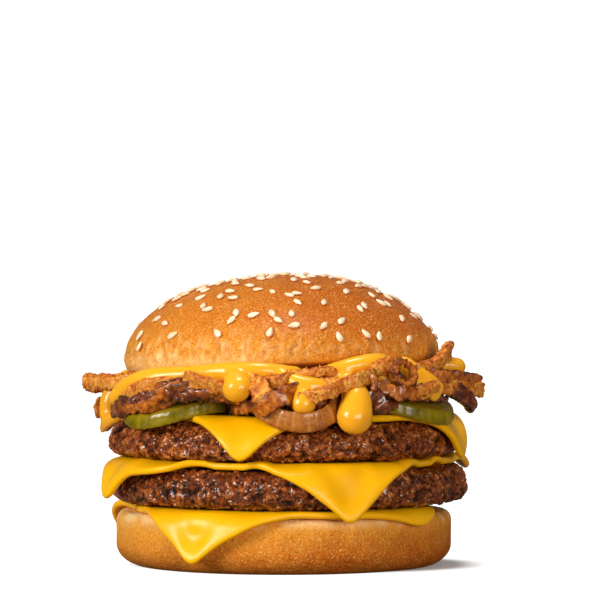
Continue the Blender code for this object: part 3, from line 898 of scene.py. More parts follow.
HEEL = Layer(0.0, 53.3, 0.0, HEEL_TOP, (3.0, 3.2), (9.0, 7.0), 0.004, 3)
LOWER_PATTY = Layer(1.7, 56.6, LOWER_PATTY_BOTTOM, LOWER_PATTY_TOP, (5.0, 7.0), (4.5, 4.0), 0.010, 8)
UPPER_PATTY = Layer(0.0, 55.8, UPPER_PATTY_BOTTOM, UPPER_PATTY_TOP, (8.0, 7.5), (4.0, 3.5), 0.010, 21)


class Tree(Graph):
    """A geometry tree with named inputs, which ends in Realize Instances and Set Material."""

    def __init__(self, name: str, inputs: dict[str, float | int]) -> None:
        """Makes the tree.

        Args:
            name: The tree's name.
            inputs: Its number inputs and their values.
        """
        super().__init__(bpy.data.node_groups.new(name, "GeometryNodeTree"))
        face = self.tree.interface
        face.new_socket("Geometry", in_out="INPUT", socket_type="NodeSocketGeometry")
        self.values = inputs
        for key, value in inputs.items():
            kind = "NodeSocketInt" if isinstance(value, int) else "NodeSocketFloat"
            face.new_socket(key, in_out="INPUT", socket_type=kind)
        face.new_socket("Geometry", in_out="OUTPUT", socket_type="NodeSocketGeometry")
        self.source = self.tree.nodes.new("NodeGroupInput")

    def input(self, name: str = "Geometry") -> Value:
        """One of the tree's inputs."""
        return Value(self, self.source.outputs[name])

    def noise(self, size: float, detail: float, rough: float, seed: Value | float = 0.0) -> Value:
        """Noise at a lump size in millimetres, about 0.5 on average. The seed shifts it.

        Args:
            size: The lump size.
            detail: How many finer layers it has.
            rough: How strong they are.
            seed: What shifts it.

        Returns:
            The noise.
        """
        settings = {"noise_dimensions": "4D"}
        sockets = {"W": seed, "Scale": 1000 / size, "Detail": detail, "Roughness": rough}
        return self.node("ShaderNodeTexNoise", settings, sockets)

    def cells(self, size: Value | float, smoothness: float, seed: Value | float = 0.0) -> Value:
        """The distance to the middle of smooth Voronoi cells of a size in metres.

        Args:
            size: The size of a cell in metres.
            smoothness: How far the cells melt together.
            seed: What shifts them.

        Returns:
            The distance.
        """
        scale = self.node("ShaderNodeMath", {"operation": "DIVIDE"}, {0: 1.0, 1: size})
        settings = {"feature": "SMOOTH_F1", "voronoi_dimensions": "4D"}
        sockets = {"W": seed, "Scale": scale, "Smoothness": smoothness}
        return self.node("ShaderNodeTexVoronoi", settings, sockets, "Distance")

    def along_normal(self, geometry: Value, distance: Value) -> Value:
        """Moves every point along its normal by a distance in metres.

        Args:
            geometry: What is moved.
            distance: How far.

        Returns:
            The moved geometry.
        """
        normal = self.node("GeometryNodeInputNormal", {}, {})
        sockets = {0: normal, "Scale": distance}
        offset = self.node("ShaderNodeVectorMath", {"operation": "SCALE"}, sockets)
        return self.node("GeometryNodeSetPosition", {}, {"Geometry": geometry, "Offset": offset})

    def store(self, geometry: Value, name: str, value: Value) -> Value:
        """Keeps a number on every point for the material."""
        settings = {"data_type": "FLOAT", "domain": "POINT"}
        sockets = {0: geometry, "Name": name, "Value": value}
        return self.node("GeometryNodeStoreNamedAttribute", settings, sockets)

    def close(self, geometry: Value, finish: bpy.types.Material) -> None:
        """Ends the tree.

        Args:
            geometry: What it made.
            finish: The material that it sets.
        """
        real = self.node("GeometryNodeRealizeInstances", {}, {"Geometry": geometry})
        painted = self.node("GeometryNodeSetMaterial", {}, {"Geometry": real, "Material": finish})
        self.add("NodeGroupOutput", {}, {"Geometry": painted})

    def apply(self, obj: bpy.types.Object) -> bpy.types.Object:
        """Runs the tree on an object and keeps the result as its plain mesh.

        Args:
            obj: The object.

        Returns:
            The same object.
        """
        modifier = obj.modifiers.new(self.tree.name, "NODES")
        modifier.node_group = self.tree
        for item in self.tree.interface.items_tree:
            if item.in_out == "INPUT" and item.name in self.values:
                modifier[item.identifier] = self.values[item.name]
        return flattened(obj)


def flattened(obj: bpy.types.Object) -> bpy.types.Object:
    """Keeps an object's evaluated mesh and drops its modifiers.

    Args:
        obj: The object.

    Returns:
        The same object.
    """
    bpy.context.view_layer.update()
    evaluated = obj.evaluated_get(bpy.context.evaluated_depsgraph_get())
    mesh = bpy.data.meshes.new_from_object(evaluated)
    obj.modifiers.clear()
    obj.data = mesh
    mesh.shade_smooth()
    return obj


@dataclass
class Heel:
    """The bun's lower half."""

    step: float = 0.8
    uneven: float = 0.35

    def build(self) -> bpy.types.Object:
        """Makes and dresses the heel.

        Returns:
            The piece.
        """
        solid = HEEL.solid(self.step, 8.0)
        for i, co in enumerate(solid.points):
            point = Vector(co)
            side = smooth((math.hypot(point.x, point.y) - 40) / 8)
            if 0.5 < point.z:
                push = self.uneven * side * (speckle(point, 12.0) + 0.4 * speckle(point, 4.0) - 0.4)
                outward = Vector((point.x, point.y, 0)).normalized()
                solid.points[i] = point + outward * push
            near_top = smooth((point.z - HEEL_TOP + 4.0) / 3.0)
            solid.marks[i] = near_top * smooth(0.5 + speckle(point, 5.0) * 1.2)
        piece = solid.to_object("heel", HEEL_CRUST.material(), "crease")
        return dress(piece, "heel_crust", "bun_heel")


@dataclass
class Patty:
    """One patty of coarse mince."""

    layer: Layer
    node: str
    seed: float
    step: float = 0.42
    lump: float = 2.6
    depth: float = 1.7
    grit: float = 0.28

    def crags(self, finish: bpy.types.Material) -> Tree:
        """The tree that turns the smooth layer into mince.

        Args:
            finish: The patty's material.

        Returns:
            The tree.
        """
        inputs = {
            "Lump Size": self.lump * MM,
            "Depth": self.depth * MM,
            "Grit": self.grit * MM,
            "Seed": self.seed,
        }
        tree = Tree(f"{self.node} crags", inputs)
        seed = tree.input("Seed")
        coarse = tree.cells(tree.input("Lump Size"), 0.12, seed)
        fine = tree.cells(tree.input("Lump Size") * 0.5, 0.08, seed + 3.0)
        swell = tree.noise(5.0, 4.0, 0.6, seed)
        grit = tree.noise(0.9, 3.0, 0.65, seed)
        medium = tree.noise(1.9, 4.0, 0.6, seed)
        lumps = 1.0 - (coarse * 0.6 + fine * 0.3)
        height = (lumps * 0.55 + medium * 1.0 + swell * 0.9 + grit * 0.25 - 0.85).above(0.05, 0.9)
        kept = tree.store(tree.input(), "crag", height)
        distance = (height - 0.8) * tree.input("Depth") + (grit - 0.5) * tree.input("Grit")
        tree.close(tree.along_normal(kept, distance), finish)
        return tree

    def build(self) -> bpy.types.Object:
        """Makes and dresses the patty.

        Returns:
            The piece.
        """
        finish = BEEF.material()
        name = self.node.replace("patty_", "beef_")
        piece = self.layer.solid(self.step, 7.0).to_object(name, None)
        self.crags(finish).apply(piece)
        return dress(piece, "beef", self.node)


@dataclass
class CheeseSlice:
    """A square slice of cheese, draped over a layer."""

    node: str
    carrier: Layer
    first_side: float  # the angle that the first edge faces
    sides: tuple[float, float, float, float]  # the distances from the middle to the edges
    corners: tuple[int, int, int, int]  # how sharp each corner is, as the power of a superellipse
    ripple: float
    seed: int
    spread: float = 0.0  # how far the hanging part stands off the carrier's side
    sags: tuple[Place, ...] = ()  # each one's angle, half width in degrees and extra length
    hollow: float = 0.3  # how far the hanging corners' edges curve inwards, as a share
    dish: float = 1.3  # how far the middle of a hanging corner sinks and its ends stand out
    slack: float = 0.7
    bend_later: float = 1.4
    flare: float = 0.06
    columns: int = 360
    rows: int = 40

    def reach(self, angle: float) -> float:
        """The slice's length in a direction, measured along its surface.

        Args:
            angle: The direction.

        Returns:
            The length in millimetres.
        """
        quadrant, turn = divmod((angle - self.first_side) % FULL_TURN, 90)
        i = int(quadrant)
        across = math.cos(math.radians(turn)) / self.sides[i]
        along = math.sin(math.radians(turn)) / self.sides[(i + 1) % 4]
        length = (across ** self.corners[i] + along ** self.corners[i]) ** (-1 / self.corners[i])
        for centre, half, extra in self.sags:
            off = off_centre(angle, centre)
            length += extra * math.exp(-((off / half) ** 2))
        return length

    def corner_angles(self) -> list[float]:
        """The angles of the four corners."""
        turns = [math.degrees(math.atan2(self.sides[(i + 1) % 4], self.sides[i])) for i in range(4)]
        return [self.first_side + 90 * i + turn for i, turn in enumerate(turns)]

    def draped(self, angle: float, length: float) -> tuple[float, float, float, float]:
        """Where the slice's underside is.

        Args:
            angle: The direction.
            length: The distance from the middle, along the surface.

        Returns:
            The radius, the height, and the outward and upward parts of the surface's normal.
        """
        layer = self.carrier
        flat = layer.flat_radius(angle) + self.bend_later
        level = layer.top + GAP
        if length <= flat:
            return length, level, 0.0, 1.0
        run = layer.shoulder[0] + GAP + self.slack - self.bend_later
        drop = layer.shoulder[1] + GAP + self.slack
        size = math.sqrt((run * run + drop * drop) / 2)
        bend = size * math.pi / 2
        turn = min((length - flat) / bend, 1.0) * math.pi / 2
        fall = max(length - flat - bend, 0.0)
        out, up = math.sin(turn) / run, math.cos(turn) / drop
        whole = math.hypot(out, up)
        radius = flat + run * math.sin(turn) + self.flare * fall
        height = level - drop * (1 - math.cos(turn)) - fall
        return radius, height, out / whole, up / whole

    def build(self) -> bpy.types.Object:
        """Makes and dresses the slice.

        Returns:
            The piece.
        """
        corners = self.corner_angles()
        shares = np.linspace(0.55, 1.0, self.rows)
        turns = np.linspace(-math.pi / 2, math.pi / 2, 9)
        rings = np.zeros((2 * self.rows + len(turns) - 2, self.columns, 3))
        half = SLICE / 2
        for j in range(self.columns):
            angle = j * FULL_TURN / self.columns
            flat = self.carrier.flat_radius(angle)
            reach = self.reach(angle) * (1 + 0.006 * wobble(angle, self.seed)) - half
            fall = max(reach - flat - 3.0, 0.0)
            reach -= self.hollow * fall * math.exp(-fall / 6.0)
            off = min(abs(off_centre(angle, corner)) for corner in corners)
            flat_hang = 1 / math.cos(math.radians(min(off, 34))) - 1
            hanging = max(reach - flat, 1.0)
            dished = self.dish * math.exp(-((off / 9) ** 2)) * smooth((hanging - 7) / 8)
            wave = math.radians(angle) * 17 + 3 * wobble(angle, self.seed + 1)
            ridge = self.ripple * math.sin(wave)
            left = 0.5 - 0.5 * math.sin(math.radians(angle))
            middle, normal = [], []
            for share in shares:
                radius, height, out, up = self.draped(angle, reach * share)
                past = reach * share - flat
                hang = smooth(past / 12.0)
                near_edge = smooth((share - 0.8) / 0.2)
                radius += 0.7 * hang * radius * flat_hang
                fallen = max(past, 0.0)
                radius += dished * math.cos(math.tau * fallen / hanging) * smooth(fallen / 3.0)
                radius += self.spread * left * smooth(past / 6.0)
                lift = max(ridge, -0.1) * near_edge * (1 - hang)
                middle.append((radius + half * out, height + half * up + lift))
                normal.append((out, up))
            for i in range(self.rows - 1):
                (radius, height), (out, up) = middle[i], normal[i]
                rings[i, j] = polar(angle, radius - half * out, height - half * up)
                rings[-1 - i, j] = polar(angle, radius + half * out, height + half * up)
            (radius, height), (out, up) = middle[-1], normal[-1]
            for k, turn in enumerate(turns):
                side, rise = math.cos(turn) * half, math.sin(turn) * half
                edge = polar(angle, radius + up * side + out * rise, height - out * side + up * rise)
                rings[self.rows - 1 + k, j] = edge
        rings[:, :, 0] += self.carrier.centre_x
        name = self.node.replace("cheese_", "slice_")
        piece = Solid.from_rings(rings).to_object(name, SLICED_CHEESE.material())
        return dress(piece, "cheese", self.node)


@dataclass
class PickleSlice:
    """A slice of pickle on the upper cheese."""

    node: str
    angle: float
    distance: float
    radius: float
    rise: float
    bend: float
    seed: int
    thickness: float = 4.5
    bend_from: float = 45.5
    edge: float = 0.7  # how far its rim is rounded

    def lift(self, x: float, y: float) -> float:
        """The height of the slice's underside over a place.

        Args:
            x: The place's distance to the right.
            y: The place's distance back.

        Returns:
            The height in millimetres.
        """
        middle = polar(self.angle, self.distance, 0)
        over = max(math.hypot(x, y) - self.bend_from, 0.0)
        start = FILLING_BOTTOM + GAP + abs(self.rise) * 14
        return start + self.rise * (x - middle.x) - self.bend * over**2

    def build(self) -> bpy.types.Object:
        """Makes and dresses the pickle.

        Returns:
            The piece.
        """
        middle = polar(self.angle, self.distance, 0)
        columns, round_steps = 150, 5
        profile = [(-d, 0.0, 1.0) for d in np.linspace(self.radius * 0.5, 1.2, 8)]
        for turn in np.linspace(0, math.pi / 2, round_steps):
            across, up = 1 - math.sin(turn), 1 - math.cos(turn)
            profile.append((-self.edge * across, self.edge * up, 0.5 * math.cos(turn)))
        profile += [(0.12, h, 0.0) for h in np.linspace(1.0, self.thickness - 1.0, 7)]
        for turn in np.linspace(0, math.pi / 2, round_steps):
            across, down = 1 - math.cos(turn), 1 - math.sin(turn)
            place = -self.edge * across, self.thickness - self.edge * down, 0.6 * math.sin(turn)
            profile.append(place)
        profile += [(-d, self.thickness, 1.0) for d in np.linspace(1.2, self.radius * 0.5, 8)]
        rings = np.zeros((len(profile), columns, 3))
        marks = np.zeros((len(profile), columns))
        for i, (inset, height, flesh) in enumerate(profile):
            for j in range(columns):
                turn = math.tau * j / columns
                facet = 0.25 * abs(math.sin(turn * 7 + self.seed)) - 0.2
                out = self.radius + inset + facet + 0.12 * math.sin(turn * 38)
                x, y = middle.x + out * math.cos(turn), middle.y + out * math.sin(turn)
                point = Vector((x, y, self.lift(x, y) + height))
                rings[i, j] = point + Vector((0, 0, 0.18 * speckle(point, 3.0)))
                marks[i, j] = flesh
        name = self.node.replace("pickle_", "gherkin_")
        piece = Solid.from_rings(rings, marks).to_object(name, PICKLED.material(), "flesh")
        return dress(piece, "pickle", self.node)


PICKLES = (
    PickleSlice("pickle_front_left", -49, 42.0, 18.0, 0.002, 0.0255, 1),
    PickleSlice("pickle_front_right", 59, 42.0, 17.0, -0.020, 0.025, 4),
    PickleSlice("pickle_back_right", 136, 40.5, 16.5, 0.020, 0.026, 7),
    PickleSlice("pickle_back_left", -138, 40.0, 17.0, -0.015, 0.026, 9),
)

SLICES = (
    CheeseSlice(
        "cheese_lower", HEEL, 15.0, (50.0, 40.0, 45.0, 48.0), (6, 16, 24, 24), 0.1, 31, 2.0,
        ((-6, 14, 1.6), (-62, 14, 2.0), (20, 16, 3.6)),
    ),
    CheeseSlice(
        "cheese_middle", LOWER_PATTY, -27.0, (52.0, 52.0, 42.0, 44.0), (24, 8, 24, 24), 0.9, 32, 2.4,
        ((-43, 11, 3.6), (-12, 10, 0.8), (2, 8, 1.4), (90, 20, -2.4)),
    ),
    CheeseSlice(
        "cheese_upper", UPPER_PATTY, -60.0, (46.0, 49.0, 46.0, 42.0), (24, 24, 16, 16), 0.2, 33, 1.0,
        ((88, 14, 1.0),), dish=0.6,
    ),
)


@dataclass
class Crown:
    """The bun's upper half and its sesame seeds."""

    radius: float = 50.0
    equator: float = 3.0
    dome: float = 25.8
    base_radius: float = 49.0
    shift: float = -0.6
    dome_power: float = 2.06
    slump: float = 1.5  # how far the right shoulder sinks
    arch: float = 1.8  # how far the rim rises over the sauce in front
    # Each band of seeds: how many, the lowest and highest share of the dome squared, and how close
    # they lie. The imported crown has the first 66.
    seed_bands: tuple[tuple[int, float, float, float], ...] = (
        (100, 0.0169, 1.0, 1.0), (46, 0.3, 1.0, 0.6), (20, 0.02, 0.24, 1.0)
    )
    seed_length: float = 3.3
    seed_width: float = 1.9
    seed_thickness: float = 1.0
    seed_sunk: float = 0.2
    seed_spacing: float = 4.1
    seed_rule: int = 11
    columns: int = 420
    # Each fold at the front: its angle, its half width in degrees and its strength
    creases: tuple[Place, ...] = (
        (-51, 2.6, 0.9), (-44, 1.2, 0.5), (-24, 1.4, 0.8), (-19, 1.0, 0.7), (-14, 1.3, 0.8), (-5, 1.2, 0.9),
        (-1, 0.9, 0.6), (5.5, 1.0, 0.9), (9, 0.8, 0.6), (21, 1.2, 0.5), (36, 1.4, 0.5), (-63, 1.5, 0.6),
    )

    def dome_point(self, angle: float, rise: float) -> Vector:
        """A point on the even dome, with its underside at height 0.

        Args:
            angle: The direction.
            rise: The share of the dome's height.

        Returns:
            The point.
        """
        radius = self.radius * (1 - rise**self.dome_power) ** (1 / self.dome_power)
        radius *= 1 + 0.006 * wobble(angle, 2)
        return polar(angle, radius, self.equator + self.dome * rise)

    def surface(self, angle: float, rise: float) -> Vector:
        """A point on the dome once its right shoulder has sunk.

        Args:
            angle: The direction.
            rise: The share of the dome's height.

        Returns:
            The point, from the crown's own middle.
        """
        point = self.dome_point(angle, rise)
        share = max(math.sin(math.radians(angle)), 0.0) * math.sin(math.pi * rise) ** 2
        point -= Vector((point.x, point.y, point.z + 3.0)).normalized() * (self.slump * share)
        point.z += self.raised(angle) * (1 - smooth(rise / 0.4))
        return point

    def raised(self, angle: float) -> float:
        """How far the rim is raised in a direction."""
        return self.arch * math.exp(-((off_centre(angle, 8) / 34) ** 2))

    def placed(self, points: np.ndarray) -> np.ndarray:
        """Moves points from the crown's own place to where it leans on the sauce."""
        turn = Matrix.Rotation(-math.atan(LEAN), 3, "Y")
        return points @ np.array(turn).T + np.array((self.shift, 0.0, CROWN_BOTTOM))

    def crease(self, angle: float, rise: float, creases: Sequence[Place]) -> float:
        """How deep the folds near the lower rim are at a place, as a share.

        Args:
            angle: The direction.
            rise: The share of the dome's height.
            creases: Each fold's angle, half width and strength.

        Returns:
            The depth.
        """
        depth = 0.0
        for centre, width, strength in creases:
            wander = 2.2 * speckle(Vector((centre, rise * 9, 0)), 1.0)
            off = off_centre(angle, centre - wander)
            reach = 0.12 + 0.2 * strength
            if abs(off) < 4 * width:
                depth += strength * math.exp(-((off / width) ** 2)) * math.exp(-((rise / reach) ** 2))
        return depth

    def bread(self) -> bpy.types.Object:
        """The crown without its seeds.

        Returns:
            The bread, not yet dressed.
        """
        rule = random.Random(4)
        creases = list(self.creases)
        for angle in range(52, 296, 13):
            creases.append((angle + rule.uniform(-4, 4), rule.uniform(0.8, 1.8), rule.uniform(0.3, 0.9)))
        rises = [math.sin(t) for t in np.linspace(0.0, math.pi / 2 - 0.01, 96)]
        low = [(-14.0, 0.0), (-9.0, 0.0), (-5.0, 0.0), (-2.4, 0.0), (-0.8, 0.1)]
        low += [(0.1, 0.4), (0.5, 0.9), (0.75, 1.7), (0.9, 2.4)]
        rings = np.zeros((len(low) + len(rises), self.columns, 3))
        marks = np.zeros(rings.shape[:2])
        for j in range(self.columns):
            angle = j * FULL_TURN / self.columns
            for i, (out, height) in enumerate(low):
                height += self.raised(angle) * smooth((out + 14) / 14)
                radius = (self.base_radius + out) * (1 + 0.006 * wobble(angle, 2))
                rings[i, j] = polar(angle, radius, height)
            for k, rise in enumerate(rises):
                point = self.surface(angle, rise)
                fold = self.crease(angle, rise, creases)
                outward = Vector((point.x, point.y, point.z - self.equator + 6)).normalized()
                swell = 0.35 * speckle(point, 16.0) + 0.1 * speckle(point, 5.0) - 0.2
                broad = speckle(Vector((angle * 0.4, rise * 7, 3.0)), 1.0) * (1 - smooth(rise / 0.5))
                fine = speckle(Vector((angle * 0.9, rise * 9, 6.0)), 1.0) * (1 - smooth(rise / 0.45))
                ridges = broad + 0.6 * fine
                ridges *= 0.3 + 0.9 * math.exp(-((off_centre(angle, -30) / 36) ** 2))
                rings[len(low) + k, j] = point + outward * (swell - 1.2 * fold + 1.2 * ridges)
                # The crease mark: partly paler crust, partly painted highlight along the folds and ridges.
                marks[len(low) + k, j] = min(max(0.4 * fold + 1.1 * ridges, 0.0), 1.0)
        solid = Solid.from_rings(rings, marks)
        solid.points = self.placed(solid.points)
        return solid.to_object("crown", CROWN_CRUST.material(), "crease")

    def seed_frames(self) -> list[tuple[Vector, Matrix]]:
        """Where the seeds lie: each one's middle, and its turn.

        Returns:
            A middle and a turn for each seed.
        """
        rule = random.Random(self.seed_rule)
        points: list[Vector] = []
        frames: list[tuple[Vector, Matrix]] = []
        bands = [band for band in self.seed_bands for _ in range(band[0])]
        while len(frames) < len(bands):
            _, lowest, highest, closeness = bands[len(frames)]
            rise = math.sqrt(rule.uniform(lowest, highest))
            angle = rule.uniform(0, FULL_TURN)
            turn = rule.uniform(0, math.tau)
            if rule.random() > 0.25 + 0.75 * rise:
                continue
            rise = min(rise, 0.998)
            point = self.dome_point(angle, rise)
            if any((point - other).length <= self.seed_spacing * closeness for other in points):
                continue
            points.append(point)
            around = self.surface(angle + 1, rise) - self.surface(angle - 1, rise)
            if around.length < 0.02:
                around = Vector((1, 0, 0))
            upward = self.surface(angle, min(rise + 0.01, 1.0)) - self.surface(angle, rise - 0.01)
            outward = around.cross(upward).normalized()
            point = self.surface(angle, rise)
            along = (Matrix.Rotation(turn, 3, outward) @ around).normalized()
            across = outward.cross(along)
            lie = Matrix((along, across, outward)).transposed()
            frames.append((point + outward * (self.seed_thickness / 2 - self.seed_sunk), lie))
        return frames

    def seed_shape(self) -> Solid:
        """One seed, a flat drop with a pointed end, round its own middle.

        Returns:
            The seed.
        """
        sides = 10
        rings = []
        for t in (-0.46, -0.36, -0.18, 0.02, 0.2, 0.36, 0.46):
            half = math.sqrt(max(1 - (2 * t) ** 2, 0.0)) * (1.05 - 0.5 * max(t + 0.1, 0.0) / 0.56)
            ring = []
            for k in range(sides):
                spin = math.tau * k / sides
                side = math.cos(spin) * half * self.seed_width / 2
                lift = math.sin(spin) * half**0.7 * self.seed_thickness / 2
                ring.append((t * self.seed_length, side, lift))
            rings.append(ring)
        return Solid.from_rings(np.array(rings))

    def seeds(self) -> bpy.types.Object:
        """All the seeds, laid on points by a geometry tree.

        Returns:
            The seeds in one piece, not yet dressed.
        """
        finish = SESAME.material()
        seed = self.seed_shape()
        shape = seed.to_object("seed shape", None)
        frames = self.seed_frames()
        lean = Matrix.Rotation(-math.atan(LEAN), 3, "Y")
        places = self.placed(np.array([middle for middle, _ in frames]))
        carrier = new_object("seeds", places, np.zeros((0, 4), int), None)
        turns = carrier.data.attributes.new("turn", "FLOAT_VECTOR", "POINT")
        for item, (_, lie) in zip(turns.data, frames):
            item.vector = (lean @ lie).to_euler()
        tree = Tree("seeds on crust", {"Size": 1.12, "Unevenness": 0.12, "Seed": self.seed_rule})
        info = tree.node("GeometryNodeObjectInfo", {}, {"Object": shape}, "Geometry")
        kind = {"data_type": "FLOAT_VECTOR"}
        turn = tree.node("GeometryNodeInputNamedAttribute", kind, {"Name": "turn"})
        sockets = {"Seed": tree.input("Seed")}
        draw = tree.add("FunctionNodeRandomValue", {"data_type": "FLOAT"}, sockets)
        spread = Value(tree, draw.outputs[1]) - 0.5
        size = tree.input("Size") + spread * tree.input("Unevenness") * 2.0
        sockets = {"Points": tree.input(), "Instance": info, "Rotation": turn, "Scale": size}
        tree.close(tree.node("GeometryNodeInstanceOnPoints", {}, sockets), finish)
        tree.apply(carrier)
        bpy.data.objects.remove(shape)
        return carrier

    def build(self) -> list[bpy.types.Object]:
        """Makes and dresses the crown and its seeds.

        Returns:
            The pieces.
        """
        bread, seeds = self.bread(), self.seeds()
        return [dress(piece, "crown_crust", "bun_crown") for piece in (bread, seeds)]


def floor_height(x: float, y: float) -> float:
    """How high the cheese on the upper patty, or a pickle on it, stands at a place.

    Args:
        x: The place's distance to the right.
        y: The place's distance back.

    Returns:
        The height in millimetres, or minus infinity past the side.
    """
    angle, radius = math.degrees(math.atan2(x, -y)), math.hypot(x, y)
    height = -math.inf
    upper = SLICES[2]
    flat = UPPER_PATTY.flat_radius(angle)
    lengths = (0, *(flat + step for step in (0, 3, 6, 9, 12)))
    places = [upper.draped(angle, length) for length in lengths]
    outer = [(r + SLICE * out, z + SLICE * up) for r, z, out, up in places]
    for a, b in zip(outer, outer[1:]):
        if a[0] <= radius < b[0]:
            height = a[1] + (b[1] - a[1]) * (radius - a[0]) / (b[0] - a[0])
    for pickle in PICKLES:
        middle = polar(pickle.angle, pickle.distance, 0)
        if math.hypot(x - middle.x, y - middle.y) < pickle.radius + GAP:
            height = max(height, pickle.lift(x, y) + pickle.thickness)
    return height


def settled(point: Vector, clearance: float) -> Vector:
    """The point, moved clear of the crown above it and of the cheese and the pickles below it.

    Args:
        point: The point.
        clearance: How far clear it is moved.

    Returns:
        Where it goes.
    """
    crown = Crown()
    away = Vector((point.x - crown.shift, point.y, 0))
    underside = CROWN_BOTTOM - clearance + LEAN * away.x
    clear = crown.radius + clearance
    moved = point.copy()
    if point.z > underside and away.length < clear:
        if away.length < 47.0:
            moved.z = underside
        else:
            moved.x = crown.shift + away.x * clear / away.length
            moved.y = away.y * clear / away.length
    moved.z = max(moved.z, floor_height(moved.x, moved.y) + clearance)
    return moved


class Cooking(Enum):
    """How far a strip of onion is cooked."""

    CRISP = "crisp"
    DARK = "caramelised"
    GOLDEN = "golden"


@dataclass(frozen=True)
class Strip:
    """A strip of onion through places (angle, radius, height)."""

    cooking: Cooking
    places: tuple[Place, ...]
    width: float
    depth: float
    twist: float = 0.0
    curl: float = 0.0
    seed: float = 0.0

    def solid(self) -> Solid:
        """The strip as a closed piece, with painted shade in its hollows and its burnt edges marked.

        Returns:
            The strip.
        """
        crisp = self.cooking is Cooking.CRISP
        centres = through([polar(*place) for place in self.places], 0.45)
        count, sides = len(centres), 26
        rings = np.zeros((count, sides, 3))
        marks = np.zeros((count, sides))
        lumps, ragged, ridge, lobes = (0.5, 0.26, 0.05, 5) if crisp else (0.34, 0.36, 0.1, 4)
        for i, centre in enumerate(centres):
            outward, across = section_axes(centres, i)
            wander = Vector((speckle(centre, 5.0, self.seed), speckle(centre, 5.0, self.seed + 9), 0))
            wander.z = speckle(centre, 4.0, self.seed + 4)
            centre = centre + wander * 0.9
            s = i / (count - 1)
            run = min(i, count - 1 - i) * 0.45
            blunt = math.sqrt(1 - (1 - min(run / 1.3, 1.0)) ** 2) * 0.85 + 0.15
            wide = self.width / 2 * blunt * (1 + ragged * speckle(Vector((s * 11, self.seed, 0)), 1.0))
            thin = self.depth / 2 * (0.4 + 0.6 * blunt)
            deep = thin * (1 + ragged * speckle(Vector((s * 8, self.seed, 5)), 1.0))
            roll = math.radians(self.twist * s + 22 * speckle(Vector((s * 3, self.seed, 8)), 1.0))
            for k in range(sides):
                turn = math.tau * k / sides
                cos, sin = math.cos(turn), math.sin(turn)
                u = deep * math.copysign(abs(cos) ** 0.75, cos)
                v = wide * math.copysign(abs(sin) ** 0.75, sin)
                v *= 1 + 0.7 * ragged * abs(sin) * speckle(centre, 2.6, math.copysign(7, sin))
                u += self.curl * (v / (self.width / 2)) ** 2
                u += ridge * math.cos(turn * lobes + 3 * speckle(Vector((s * 5, self.seed, 2)), 1.0))
                out = u * math.cos(roll) - v * math.sin(roll)
                up = u * math.sin(roll) + v * math.cos(roll)
                point = centre + outward * out + across * up
                coarse, fine = speckle(point, 1.5, self.seed), speckle(point, 0.75, self.seed)
                push = lumps * (0.8 * coarse + 0.7 * fine)
                normal = (point - centre).normalized()
                rings[i, k] = settled(point + normal * push, 0.2)
                burnt = max(abs(sin) ** 6, 1 - min(run / 1.0, 1.0)) * (0.4 if crisp else 1.1)
                # Painted shade in the hollows between lumps and painted highlight on the lumps, plus really
                # burnt, darker edges and ends.
                marks[i, k] = min(max(0.4 - 0.3 * push / lumps + 0.5 * burnt, 0.0), 1.0)
        return Solid.from_rings(rings, marks)


CRISP, DARK, GOLDEN = Cooking

